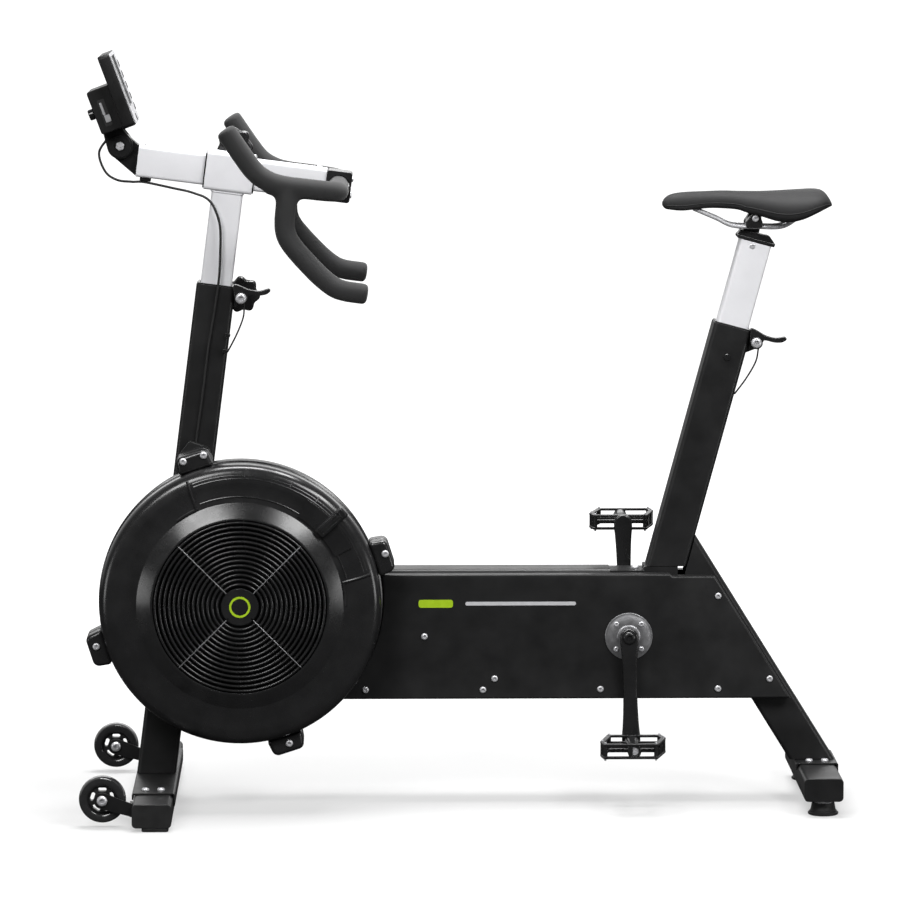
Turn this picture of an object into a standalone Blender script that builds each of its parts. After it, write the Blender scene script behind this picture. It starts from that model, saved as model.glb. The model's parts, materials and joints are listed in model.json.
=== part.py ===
"""Air-resistance exercise bike, as an assembly of separate pieces.

Metres, +Z up. The bike faces -X and stands on Z = 0, and the rider's left is -Y. Y = 0 is the
middle plane of the frame. Pieces on the left of the bike lie at negative Y, so "reach" below
means the distance from the middle plane towards the rider's left.
"""

import math

import bpy
import bmesh
from mathutils import Matrix, Vector

# Moves the origin under the middle of the whole bike's bounding box
CENTRE_SHIFT = -0.002475

# Square frame tubes and the square posts that slide in them
TUBE = 0.063
TUBE_WALL = 0.002
TUBE_CORNER = 0.007
POST = 0.0505
POST_WALL = 0.0018
GAP = 0.0003

# The two raked columns: where each axis meets the floor, its rake, and heights along the axis
FRONT_BASE_X = -0.5026
FRONT_RAKE = math.radians(7.2)
COLUMN_TOP = 0.8526
SLEEVE_LENGTH = 0.078
SLEEVE_HEIGHT = 0.0625
SLEEVE_CENTRE = 1.0372
BEAM_FRONT = -0.1500
BEAM_REAR = 0.1560
SEAT_BASE_X = 0.2324
SEAT_RAKE = math.radians(15.15)
SEAT_TUBE_TOP = 0.8057
SEAT_POST_TOP = 0.9470
POST_INSERTED = 0.2300

# Rear leg, leaning forward from the rear foot up to the seat tube
LEG_BASE_X = 0.6179
LEG_RAKE = math.radians(-31.86)

# Feet
FOOT_BAR_HEIGHT = 0.038
FRONT_BAR_X = -0.4950
FRONT_BAR_WIDTH = 0.0628
FRONT_BAR_BOTTOM = 0.0060
FRONT_BAR_HALF = 0.3050
REAR_BAR_X = 0.5822
REAR_BAR_WIDTH = 0.0631
REAR_BAR_BOTTOM = 0.0255
REAR_BAR_HALF = 0.1970
BRACKET_SHEET = 0.0025
FRONT_BRACKET_HALF = 0.2165
REAR_BRACKET_HALF = 0.0650
FOOT_X = 0.5837
FOOT_Y = 0.1630
FOOT_RADIUS = 0.0245

# Transport wheels
WHEEL_X = -0.5743
WHEEL_Z = 0.0455
WHEEL_Y = 0.2580
WHEEL_RADIUS = 0.0376
WHEEL_HALF_WIDTH = 0.0125

# Frame body between the columns
BEAM_BOTTOM_Z = 0.2620
BEAM_TOP_Z = 0.3820
BODY_BEAM_REAR_X = 0.2445
COVER_SHEET = 0.0012
COVER_OUTER_Y = 0.0550
COVER_TOP_Z = 0.3768
COVER_BOTTOM_Z = 0.1720
COVER_STEP_X = 0.3410
COVER_STEP_Z = 0.3727

# Drive line: axes in X and Z, pulley radii
CRANK_AXIS = (0.2742, 0.2746)
COUNTER_AXIS = (-0.0450, 0.3000)
FAN_AXIS = (-0.3565, 0.3392)
CRANK_PULLEY_RADIUS = 0.0840
COUNTER_SMALL_RADIUS = 0.0300
COUNTER_LARGE_RADIUS = 0.0700
FAN_PULLEY_RADIUS = 0.0250
SHAFT_RADIUS = 0.0100
SHAFT_BORE = 0.0108
PULLEY_INNER_Y = 0.0380
PULLEY_OUTER_Y = 0.0515
BELT_THICKNESS = 0.0030
CRANK_LENGTH = 0.1700
CRANK_LEAN = math.radians(-1.3)
CRANK_INNER_Y = 0.0605
CRANK_OUTER_Y = 0.0755
CRANK_END_RADIUS = 0.0148
PEDAL_HALF_LENGTH = 0.0540
PEDAL_NEAR_Y = 0.0800
PEDAL_FAR_Y = 0.1740
PEDAL_HALF_HEIGHT = 0.0125
PEDAL_AXLE_RADIUS = 0.0070

# Fan cage and fan, as radii about the fan axis and reaches towards the rider's left
CAGE_RADIUS = 0.2275
CAGE_WALL = 0.0030
CAGE_BACK = 0.0360
CAGE_PARTING = 0.0850
CAGE_FACE = 0.1450
GRILLE_REACH = 0.1600
BEVEL_OUTER = 0.1664
BEVEL_INNER = 0.1433
GRILLE_RADIUS = 0.1370
HUB_DISC_RADIUS = 0.0303
SPOKE_HALF_WIDTH = 0.0022
LUG_ANGLES = (108, 18, -72, -162)
LUG_RADIUS = 0.0110
LUG_CENTRE = 0.2450
LUG_SPREAD = 0.0160
DAMPER_INNER = 0.1720
DAMPER_OUTER = 0.2040
DAMPER_ANGLE = 42.5
DAMPER_HALF_ANGLE = 15.0

# Handlebar, clamps and levers, in the front column's frame (u rearward, w up the column)
BAR_RADIUS = 0.0155
BAR_U = 0.1773
BAR_W = 1.0376
CLAMP_PIVOT_U = 0.0429
CLAMP_PIVOT_DROP = 0.0145
KNOB_RADIUS = 0.0300
KNOB_LOBES = 7
BEAM_KNOB_W = 1.0784

# Monitor, in its own frame: u out of the screen, w up the screen, from the tilt hinge
HINGE_POINT = (-0.5493, 0.0, 1.0719)
MONITOR_RAKE = math.radians(-20.4)
HINGE_RADIUS = 0.0210
SCREEN_BACK = 0.0140
SCREEN_FACE = 0.0385
SCREEN_BOTTOM = 0.0250
SCREEN_TOP = 0.1475
SCREEN_HALF_WIDTH = 0.0780
BUTTON_Y = 0.0600
BUTTON_LOW_W = 0.0500
BUTTON_PITCH = 0.0185
BUTTON_TRAVEL = 0.0010

# Saddle: (x, half-width, top z, bottom z) stations from nose to tail
SADDLE_PIVOT = (0.4782, 0.0, 0.9539)
SADDLE_STATIONS = (
    (0.3285, 0.008, 0.9770, 0.9690),
    (0.3350, 0.017, 0.9840, 0.9665),
    (0.3550, 0.021, 0.9910, 0.9670),
    (0.4000, 0.023, 0.9935, 0.9690),
    (0.4500, 0.028, 0.9945, 0.9690),
    (0.4900, 0.043, 0.9950, 0.9685),
    (0.5300, 0.065, 0.9985, 0.9640),
    (0.5650, 0.076, 1.0020, 0.9640),
    (0.5900, 0.071, 1.0000, 0.9680),
    (0.6050, 0.050, 0.9880, 0.9740),
)
RAIL_RADIUS = 0.0035
RAIL_Y = 0.0220


def clear_scene():
    for obj in list(bpy.data.objects):
        bpy.data.objects.remove(obj)


def finish(name, colour, roughness, metallic=0.0):
    """A Principled material."""
    material = bpy.data.materials.new(name)
    material.use_nodes = True
    shader = material.node_tree.nodes["Principled BSDF"]
    shader.inputs["Base Color"].default_value = (*colour, 1.0)
    shader.inputs["Roughness"].default_value = roughness
    shader.inputs["Metallic"].default_value = metallic
    material.diffuse_color = (*colour, 1.0)
    return material


# ---------------------------------------------------------------------------
# Frames and objects


class Frame:
    """A coordinate frame with an empty that its pieces are parented to."""

    def __init__(self, name, matrix):
        self.matrix = matrix
        self.empty = bpy.data.objects.new(name, None)
        self.empty.matrix_world = matrix
        self.empty.empty_display_size = 0.05
        bpy.context.scene.collection.objects.link(self.empty)

    def at(self, name, point, turn=0.0):
        """A frame on a joint's axis, turned about Y within this one."""
        matrix = self.matrix @ Matrix.Translation(point) @ Matrix.Rotation(turn, 4, "Y")
        return Frame(name, matrix)


def mesh_of(points, faces):
    """A mesh with its faces turned outwards."""
    mesh = bpy.data.meshes.new("mesh")
    mesh.from_pydata([tuple(p) for p in points], [], faces)
    shape = bmesh.new()
    shape.from_mesh(mesh)
    bmesh.ops.recalc_face_normals(shape, faces=shape.faces)
    shape.to_mesh(mesh)
    shape.free()
    return mesh


def place(name, mesh, material, frame, pivot=None):
    """A piece drawn in one frame and parented to another, whose origin is then on its joint's axis."""
    holder = pivot or frame
    mesh.transform(holder.matrix.inverted() @ frame.matrix)
    mesh.name = name
    mesh.materials.append(material)
    mesh.shade_smooth()
    mesh.set_sharp_from_angle(angle=math.radians(35))
    obj = bpy.data.objects.new(name, mesh)
    bpy.context.scene.collection.objects.link(obj)
    obj.parent = holder.empty
    return obj


def combine(obj, operation, mesh, frame):
    """A Boolean with a hidden helper drawn in a frame."""
    helper = bpy.data.objects.new(f"helper_{obj.name}_{len(obj.modifiers)}", mesh)
    bpy.context.scene.collection.objects.link(helper)
    helper.matrix_world = frame.matrix
    helper.hide_render = True
    helper.display_type = "WIRE"
    modifier = obj.modifiers.new(f"{operation.lower()}_{len(obj.modifiers)}", "BOOLEAN")
    modifier.operation = operation
    modifier.solver = "EXACT"
    modifier.object = helper


def fuse(obj, mesh, frame):
    combine(obj, "UNION", mesh, frame)


def cut(obj, mesh, frame):
    combine(obj, "DIFFERENCE", mesh, frame)


# ---------------------------------------------------------------------------
# Outlines: lists of (a, b) points, counter-clockwise


def circle(radius, centre=(0.0, 0.0), steps=16, start=0.0, sweep=360.0):
    """Points along a circle, or along an arc with both its ends."""
    count = steps if sweep >= 360.0 else steps + 1
    angles = [math.radians(start + sweep * i / steps) for i in range(count)]
    return [(centre[0] + radius * math.cos(a), centre[1] + radius * math.sin(a)) for a in angles]


def rounded(width, height, corner, centre=(0.0, 0.0), steps=3):
    """A rectangle with round corners."""
    points = []
    a = width / 2 - corner
    b = height / 2 - corner
    for index, (da, db) in enumerate(((a, b), (-a, b), (-a, -b), (a, -b))):
        points += circle(corner, (centre[0] + da, centre[1] + db), steps, 90.0 * index, 90.0)
    return points


def rectangle(a0, a1, b0, b1):
    return [(a0, b0), (a1, b0), (a1, b1), (a0, b1)]


def hull(points):
    """The convex outline round a set of points."""
    ordered = sorted(set(points))

    def half(sequence):
        chain = []
        for p in sequence:
            while len(chain) > 1 and turn(chain[-2], chain[-1], p) <= 0:
                chain.pop()
            chain.append(p)
        return chain[:-1]

    def turn(o, a, b):
        return (a[0] - o[0]) * (b[1] - o[1]) - (a[1] - o[1]) * (b[0] - o[0])

    return half(ordered) + half(ordered[::-1])


def star(radius, lobes, depth):
    """The wavy outline of a star knob, with six points a lobe."""
    count = lobes * 6
    angles = [2 * math.pi * i / count for i in range(count)]
    radii = [radius - depth * (1 - math.cos(lobes * a)) / 2 for a in angles]
    return [(r * math.cos(a), r * math.sin(a)) for r, a in zip(radii, angles)]


# ---------------------------------------------------------------------------
# Solids


def to_space(point, depth, axis):
    """An outline point at a depth along an axis, as X, Y and Z."""
    if axis == "X":
        return (depth, point[0], point[1])
    if axis == "Y":
        return (point[0], depth, point[1])
    return (point[0], point[1], depth)


def end_points(outline, end, axis):
    """An outline at one end: a distance along the axis, or a function of the point for a mitre."""
    return [to_space(p, end(p) if callable(end) else end, axis) for p in outline]


def side_faces(first, second, count):
    return [(first + i, first + (i + 1) % count, second + (i + 1) % count, second + i) for i in range(count)]


def prism(outline, low, high, axis="Y"):
    """An outline carried along an axis, solid."""
    count = len(outline)
    points = end_points(outline, low, axis) + end_points(outline, high, axis)
    faces = side_faces(0, count, count)
    faces += [tuple(range(count)), tuple(range(2 * count - 1, count - 1, -1))]
    return mesh_of(points, faces)


def pipe(outer, inner, low, high, axis="Z"):
    """A hollow section with open ends, from two outlines with the same number of points."""
    count = len(outer)
    points = []
    for outline, end in ((outer, low), (outer, high), (inner, high), (inner, low)):
        points += end_points(outline, end, axis)
    faces = []
    for ring in range(4):
        faces += side_faces(ring * count, (ring + 1) % 4 * count, count)
    return mesh_of(points, faces)


def square_pipe(side, corner, wall, low, high, axis="Z"):
    outer = rounded(side, side, corner)
    inner = rounded(side - 2 * wall, side - 2 * wall, corner - wall + 0.0005)
    return pipe(outer, inner, low, high, axis)


def lathe(profile, segments=24):
    """A closed profile of (radius, height) points turned about Z. Points at radius 0 close the end."""
    rings = []
    points = []
    for radius, height in profile:
        if radius == 0.0:
            rings.append([len(points)] * segments)
            points.append((0.0, 0.0, height))
            continue
        rings.append([len(points) + i for i in range(segments)])
        for a, b in circle(radius, steps=segments):
            points.append((a, b, height))
    faces = []
    for first, second in zip(rings, rings[1:] + rings[:1]):
        for i in range(segments):
            j = (i + 1) % segments
            corners = dict.fromkeys((first[i], first[j], second[j], second[i]))
            if len(corners) > 2:
                faces.append(tuple(corners))
    return mesh_of(points, faces)


def rod(radius, low, high, segments=16):
    return lathe([(0.0, low), (radius, low), (radius, high), (0.0, high)], segments)


def shifted(mesh, offset):
    mesh.transform(Matrix.Translation(offset))
    return mesh


def smooth_path(points, steps):
    """A Catmull-Rom curve through the points."""
    knots = [Vector(p) for p in points]
    knots = [2 * knots[0] - knots[1]] + knots + [2 * knots[-1] - knots[-2]]
    path = []
    for a, b, c, d in zip(knots, knots[1:], knots[2:], knots[3:]):
        for step in range(steps):
            t = step / steps
            cubic = (3 * b - a - 3 * c + d) * t ** 3
            path.append(0.5 * (2 * b + (c - a) * t + (2 * a - 5 * b + 4 * c - d) * t * t + cubic))
    return path + [knots[-2]]


def tube(path, radius, sides=10):
    """A round tube with flat ends along a path."""
    points = []
    across = (path[1] - path[0]).orthogonal().normalized()
    for index, centre in enumerate(path):
        along = path[min(index + 1, len(path) - 1)] - path[max(index - 1, 0)]
        along.normalize()
        across = (across - across.dot(along) * along).normalized()
        other = along.cross(across)
        for a, b in circle(radius, steps=sides):
            points.append(centre + across * a + other * b)
    faces = []
    for index in range(len(path) - 1):
        faces += side_faces(index * sides, (index + 1) * sides, sides)
    last = (len(path) - 1) * sides
    faces += [tuple(range(sides)), tuple(range(last + sides - 1, last - 1, -1))]
    return mesh_of(points, faces)


def ring_sector(inner, outer, start, end, low, high, steps=7):
    """A piece of a flat ring whose straight ends are parallel to the spokes beside it."""
    outline = circle(outer, steps=steps, start=start[1], sweep=end[1] - start[1])
    outline += circle(inner, steps=steps, start=end[0], sweep=start[0] - end[0])
    return prism(outline, low, high, "Z")


def joined(meshes):
    """Separate closed shapes as one mesh, for a helper that cuts several openings."""
    shape = bmesh.new()
    for mesh in meshes:
        shape.from_mesh(mesh)
    result = bpy.data.meshes.new("mesh")
    shape.to_mesh(result)
    shape.free()
    return result


# ---------------------------------------------------------------------------
# Frame


def level(frame, height):
    """Mitre that ends a raked tube on a level plane."""
    base = frame.matrix.translation.z
    up = frame.matrix.to_3x3() @ Vector((0, 0, 1))
    along_u = frame.matrix.to_3x3() @ Vector((1, 0, 0))
    return lambda point: (height - base - point[0] * along_u.z) / up.z


def build_front_frame(front, paint):
    bottom = level(front, FRONT_BAR_BOTTOM + FOOT_BAR_HEIGHT + BRACKET_SHEET + 2 * GAP)
    column = place(
        "front_column",
        square_pipe(TUBE, TUBE_CORNER, TUBE_WALL, bottom, COLUMN_TOP),
        paint,
        front,
    )
    add_clamp_ears(column, front, COLUMN_TOP)


def add_clamp_ears(obj, frame, top):
    """The two lugs behind a tube's mouth, as one block, and the hole for the clamp bolt."""
    w = top - CLAMP_PIVOT_DROP
    block = prism(hull(circle(0.0105, (CLAMP_PIVOT_U, w)) + [(0.0300, w + 0.010), (0.0300, w - 0.020)]), -0.022, 0.022)
    fuse(obj, block, frame)
    bore = shifted(turned(rod(0.0046, -0.05, 0.05)), (CLAMP_PIVOT_U, 0, w))
    cut(obj, bore, frame)


def turned(mesh):
    """A lathed shape laid on its side, so that its heights become reaches towards the rider's left."""
    mesh.transform(Matrix.Rotation(math.radians(90), 4, "X"))
    return mesh


def build_seat_frame(seat, leg, paint):
    tube_object = place(
        "seat_tube",
        square_pipe(TUBE, TUBE_CORNER, TUBE_WALL, level(seat, 0.3862), SEAT_TUBE_TOP),
        paint,
        seat,
    )
    add_clamp_ears(tube_object, seat, SEAT_TUBE_TOP)
    rear_face = seat.matrix.to_3x3() @ Vector((1, 0, 0))
    face_point = seat.matrix @ Vector((TUBE / 2 + GAP, 0, 0))

    def meet_seat_tube(point):
        """Where a line up the leg meets the seat tube's rear face."""
        start = leg.matrix @ Vector((point[0], point[1], 0))
        along = leg.matrix.to_3x3() @ Vector((0, 0, 1))
        return (face_point - start).dot(rear_face) / along.dot(rear_face)

    bottom = level(leg, REAR_BAR_BOTTOM + FOOT_BAR_HEIGHT + BRACKET_SHEET + 2 * GAP)
    mesh = square_pipe(TUBE, TUBE_CORNER, TUBE_WALL, bottom, meet_seat_tube)
    place("rear_leg", mesh, paint, leg)


def build_body_beam(world, front, paint):
    """The level box beam behind the side covers, mitred to the front column."""
    height = BEAM_TOP_Z - BEAM_BOTTOM_Z
    middle = (BEAM_TOP_Z + BEAM_BOTTOM_Z) / 2
    outer = rounded(TUBE, height, TUBE_CORNER, (0, middle))
    inner = rounded(TUBE - 2 * TUBE_WALL, height - 2 * TUBE_WALL, TUBE_CORNER - TUBE_WALL, (0, middle))

    def meet_column(point):
        rake = math.tan(FRONT_RAKE) * point[1]
        return FRONT_BASE_X + (TUBE / 2 + GAP) / math.cos(FRONT_RAKE) + rake

    beam = place("main_beam", pipe(outer, inner, meet_column, BODY_BEAM_REAR_X, "X"), paint, world)
    for axis in (COUNTER_AXIS, FAN_AXIS):
        bore = shifted(turned(rod(SHAFT_BORE, -0.04, 0.04)), (axis[0], 0, axis[1]))
        cut(beam, bore, world)


def build_crank_housing(world, paint):
    """Folded box that carries the crank bearings and the foot of the seat tube, open to the rear."""
    front_x = BODY_BEAM_REAR_X + GAP
    step_x = 0.3000
    rear_x = 0.3550
    low_z = 0.2000
    top_z = 0.3795
    seat_z = 0.3857
    sheet = 0.002
    outline = [(front_x, low_z), (rear_x, low_z), (rear_x, seat_z), (step_x, seat_z), (step_x, top_z), (front_x, top_z)]
    past = rear_x + 0.02
    pocket = [
        (front_x + sheet, low_z + sheet),
        (past, low_z + sheet),
        (past, seat_z - sheet),
        (step_x + sheet, seat_z - sheet),
        (step_x + sheet, top_z - sheet),
        (front_x + sheet, top_z - sheet),
    ]
    half = TUBE / 2
    housing = place("crank_housing", prism(outline, -half, half), paint, world)
    cut(housing, prism(pocket, -half + sheet, half - sheet), world)
    here = (CRANK_AXIS[0], 0, CRANK_AXIS[1])
    fuse(housing, shifted(turned(rod(0.022, -half + 0.001, half - 0.001)), here), world)
    cut(housing, shifted(turned(rod(SHAFT_BORE, -0.04, 0.04)), here), world)


def cover_outline(front_points):
    """A side cover from its front edge, given top to bottom, round the bottom, leg edge and top."""
    leg_edge = [(0.5389, COVER_BOTTOM_Z), (0.4142, COVER_STEP_Z)]
    step = [(COVER_STEP_X + 0.005, COVER_STEP_Z), (COVER_STEP_X, COVER_TOP_Z)]
    return front_points + leg_edge + step


def cage_arc(radius, top, bottom):
    """The front edge of the left cover, round the fan cage, from its top to its bottom."""
    start = math.degrees(math.asin((top - FAN_AXIS[1]) / radius))
    end = math.degrees(math.asin((bottom - FAN_AXIS[1]) / radius))
    return circle(radius, FAN_AXIS, 8, start, end - start)


def slope(inset):
    """The front edge of the right cover, which runs on over the fan pulley."""
    return [
        (-0.4050 + inset, COVER_TOP_Z - inset),
        (-0.4050 + inset, 0.2900 + inset * 0.5),
        (-0.2400 + inset * 0.5, COVER_BOTTOM_Z + inset),
    ]


def build_side_cover(world, name, side, front_points, pocket_front, paint):
    """A folded sheet tray screwed to one side of the frame, open towards the middle."""
    pocket = pocket_front + [(0.60, COVER_BOTTOM_Z + COVER_SHEET), (0.60, COVER_TOP_Z - COVER_SHEET)]
    rim = TUBE / 2 + GAP
    ends = sorted((side * COVER_OUTER_Y, side * rim))
    cover = place(name, prism(cover_outline(front_points), *ends), paint, world)
    depth = sorted((side * (COVER_OUTER_Y - COVER_SHEET), side * (rim - 0.002)))
    cut(cover, prism(pocket, *depth), world)
    hole = shifted(turned(rod(0.0160, -0.07, 0.07)), (CRANK_AXIS[0], 0, CRANK_AXIS[1]))
    cut(cover, hole, world)


def build_foot_bars(world, paint, rubber):
    """The two cross feet with the brackets that saddle them, the front caps and the levelling feet."""
    low = FRONT_BAR_BOTTOM
    centre = (FRONT_BAR_X, low + FOOT_BAR_HEIGHT / 2)
    outer = rounded(FRONT_BAR_WIDTH, FOOT_BAR_HEIGHT, TUBE_CORNER, centre)
    inner = rounded(FRONT_BAR_WIDTH - 2 * TUBE_WALL, FOOT_BAR_HEIGHT - 2 * TUBE_WALL, TUBE_CORNER - TUBE_WALL, centre)
    cap = 0.0030
    half = FRONT_BAR_HALF - cap
    place("front_crossbar", pipe(outer, inner, -half, half, "Y"), paint, world)
    for side, word in ((-1, "left"), (1, "right")):
        ends = sorted((side * (half + GAP), side * FRONT_BAR_HALF))
        end_cap = place(f"front_end_cap_{word}", prism(outer, *ends), rubber, world)
        foot = sorted((side * 0.2550, side * (FRONT_BAR_HALF - 0.0003)))
        lip = sorted((side * (half + 0.0006), side * (FRONT_BAR_HALF - 0.0003)))
        pad = rectangle(-0.5110, -0.4684, 0.0, FRONT_BAR_BOTTOM - GAP)
        fuse(end_cap, prism(pad, *foot), world)
        fuse(end_cap, prism(rectangle(-0.5100, -0.4694, 0.0010, 0.0150), *lip), world)

    bar_centre = (REAR_BAR_X, REAR_BAR_BOTTOM + FOOT_BAR_HEIGHT / 2)
    rear = rounded(REAR_BAR_WIDTH, FOOT_BAR_HEIGHT, TUBE_CORNER, bar_centre)
    hollow = rounded(REAR_BAR_WIDTH - 2 * TUBE_WALL, FOOT_BAR_HEIGHT - 2 * TUBE_WALL, 0.004, bar_centre)
    bar = place("rear_crossbar", prism(rear, -REAR_BAR_HALF, REAR_BAR_HALF), paint, world)
    cut(bar, prism(hollow, -REAR_BAR_HALF + TUBE_WALL, REAR_BAR_HALF - TUBE_WALL), world)
    for side, word in ((-1, "left"), (1, "right")):
        spot = (FOOT_X, side * FOOT_Y, 0)
        cut(bar, shifted(rod(0.0062, REAR_BAR_BOTTOM - 0.01, REAR_BAR_BOTTOM + 0.01), spot), world)
        build_levelling_foot(world.at(f"levelling_foot_{word}_axis", spot), word, rubber)

    for name, x, width, bottom, half_length in (
        ("front_bracket", FRONT_BAR_X, FRONT_BAR_WIDTH, FRONT_BAR_BOTTOM, FRONT_BRACKET_HALF),
        ("rear_bracket", REAR_BAR_X, REAR_BAR_WIDTH, REAR_BAR_BOTTOM, REAR_BRACKET_HALF),
    ):
        build_saddle_bracket(world, name, x, width, bottom + FOOT_BAR_HEIGHT, half_length, paint)


def build_saddle_bracket(world, name, x, width, bar_top, half_length, paint):
    """A plate folded down over the front and rear edges of a cross foot."""
    inner = width / 2 + 2 * GAP
    outer = inner + BRACKET_SHEET
    under = bar_top + GAP
    top = under + BRACKET_SHEET
    outline = [
        (x - outer, bar_top - 0.008),
        (x - inner, bar_top - 0.008),
        (x - inner, under),
        (x + inner, under),
        (x + inner, bar_top - 0.018),
        (x + outer, bar_top - 0.018),
        (x + outer, top - 0.0035),
        (x + outer - 0.0035, top),
        (x - outer + 0.0035, top),
        (x - outer, top - 0.0035),
    ]
    place(name, prism(outline, -half_length, half_length), paint, world)


def build_levelling_foot(axis, word, rubber):
    """A screw-in foot: wide base, tapered neck and the stud that goes up into the bar."""
    neck = REAR_BAR_BOTTOM - 0.0005
    profile = [
        (0.0, 0.0),
        (FOOT_RADIUS, 0.0),
        (FOOT_RADIUS, 0.0040),
        (0.0185, neck - 0.002),
        (0.0170, neck),
        (0.0055, neck),
        (0.0055, neck + 0.020),
        (0.0, neck + 0.020),
    ]
    place(f"levelling_foot_{word}", lathe(profile, 20), rubber, axis)


def build_transport_wheel(world, side, word, paint, tyre):
    """A roller in front of the front foot, on an axle held by one arm on its left."""
    y = side * WHEEL_Y
    axis = world.at(f"wheel_{word}_axis", (WHEEL_X, y, WHEEL_Z))
    arm_y = (y - WHEEL_HALF_WIDTH - 0.0070, y - WHEEL_HALF_WIDTH - 0.0030)
    bar_face = FRONT_BAR_X - FRONT_BAR_WIDTH / 2 - GAP
    root = [(bar_face, 0.0195), (bar_face, 0.0405)]
    shape = hull(circle(0.0130, (WHEEL_X, WHEEL_Z)) + root)
    arm = place(f"wheel_arm_{word}", prism(shape, *arm_y), paint, world)
    flange = rectangle(bar_face - 0.004, bar_face, 0.0195, 0.0405)
    fuse(arm, prism(flange, arm_y[0] + 0.0004, arm_y[1] + 0.026), world)
    axle = shifted(turned(rod(0.0045, -WHEEL_HALF_WIDTH, WHEEL_HALF_WIDTH + 0.0050)), (0, 0, 0))
    fuse(arm, axle, axis)

    half = WHEEL_HALF_WIDTH
    profile = [
        (0.0049, half),
        (0.0120, half),
        (0.0130, 0.0040),
        (0.0270, 0.0040),
        (0.0290, half - 0.001),
        (0.0345, half),
        (WHEEL_RADIUS, half - 0.005),
        (WHEEL_RADIUS, 0.005 - half),
        (0.0345, -half),
        (0.0290, 0.001 - half),
        (0.0270, -0.0040),
        (0.0130, -0.0040),
        (0.0120, -half),
        (0.0049, -half),
    ]
    wheel = place(f"wheel_{word}", turned(lathe(profile, 20)), tyre, axis)
    holes = [shifted(rod(0.0048, -0.01, 0.01, 10), (*spot, 0)) for spot in circle(0.0200, steps=5, start=90.0)]
    cut(wheel, turned(joined(holes)), axis)


# ---------------------------------------------------------------------------
# Drive


def pulley(radius, bore, low, high, segments=24):
    """A belt pulley with a thin web."""
    web = (low + high) / 2
    if radius < 0.05:
        return lathe([(bore, low), (bore, high), (radius, high), (radius, low)], segments)
    rim = radius - 0.006
    hub = bore + 0.012
    profile = [
        (bore, low),
        (bore, high),
        (hub, high),
        (hub, web + 0.002),
        (rim, web + 0.002),
        (rim, high),
        (radius, high),
        (radius, low),
        (rim, low),
        (rim, web - 0.002),
        (hub, web - 0.002),
        (hub, low),
    ]
    return lathe(profile, segments)


def build_belt(world, name, first, second, low, high, rubber):
    """A flat belt round two pulleys, each given as centre and radius. Its flats clear the pulleys."""
    steps = 48
    inner = []
    outer = []
    for centre, radius in (first, second):
        corner = (radius + GAP) / math.cos(math.pi / steps)
        inner += circle(corner, centre, steps)
        outer += circle(corner + BELT_THICKNESS, centre, steps)
    inner = hull(inner)
    outer = hull(outer)
    belt = place(name, prism(outer, low, high), rubber, world)
    cut(belt, prism(inner, low - 0.01, high + 0.01), world)


def build_crank_set(world, steel, black, plate):
    """Spindle, drive pulley, both cranks with their pedal axles, and the two dust plates."""
    centre = (CRANK_AXIS[0], 0, CRANK_AXIS[1])
    axis = world.at("crank_axis", centre, CRANK_LEAN)
    spindle = turned(rod(SHAFT_RADIUS, GAP - CRANK_INNER_Y, CRANK_INNER_Y - GAP, 20))
    place("crank_spindle", spindle, steel, axis)
    bore = SHAFT_RADIUS + GAP
    drive = turned(pulley(CRANK_PULLEY_RADIUS, bore, PULLEY_INNER_Y, PULLEY_OUTER_Y, 32))
    place("crank_pulley", drive, black, axis)
    for side, word in ((-1, "left"), (1, "right")):
        drop = side * CRANK_LENGTH
        shape = hull(circle(CRANK_END_RADIUS, (0, 0)) + circle(CRANK_END_RADIUS, (0, drop)))
        ends = sorted((side * CRANK_INNER_Y, side * CRANK_OUTER_Y))
        arm = place(f"crank_{word}", prism(shape, *ends), black, axis)
        reach = sorted((-side * (CRANK_INNER_Y + 0.002), -side * (PEDAL_FAR_Y - 0.004)))
        fuse(arm, shifted(turned(rod(PEDAL_AXLE_RADIUS, *reach)), (0, 0, drop)), axis)
        build_pedal(axis.at(f"pedal_{word}_axis", (0, 0, drop), -CRANK_LEAN), side, word, black)
        disc = [(0.0125, COVER_OUTER_Y + GAP), (0.0387, COVER_OUTER_Y + GAP), (0.0387, 0.0582), (0.0125, 0.0582)]
        flipped = [(r, -side * h) for r, h in disc]
        place(f"bearing_flange_{word}", turned(lathe(flipped, 28)), plate, world.at(f"flange_{word}_place", centre))


def build_pedal(axis, side, word, black):
    """A skewed platform with a barrel along the axle and a window on each side of it."""
    half = PEDAL_HALF_LENGTH
    near, far = PEDAL_NEAR_Y, PEDAL_FAR_Y
    plan = [
        (0.0480, near),
        (half, near + 0.030),
        (0.0380, far),
        (-0.0500, far),
        (-half, far - 0.030),
        (-0.0400, near),
    ]
    plan = [(-side * a, side * b) for a, b in plan]
    pedal = place(f"pedal_{word}", prism(plan, -PEDAL_HALF_HEIGHT, PEDAL_HALF_HEIGHT, "Z"), black, axis)
    for direction in (-1, 1):
        sides = sorted((direction * 0.0150, direction * 0.0340))
        window = rectangle(*sides, *sorted((side * (near + 0.010), side * (far - 0.010))))
        cut(pedal, prism(window, -0.05, 0.05, "Z"), axis)
    cut(pedal, turned(rod(PEDAL_AXLE_RADIUS + 0.0005, -0.3, 0.3)), axis)


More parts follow.
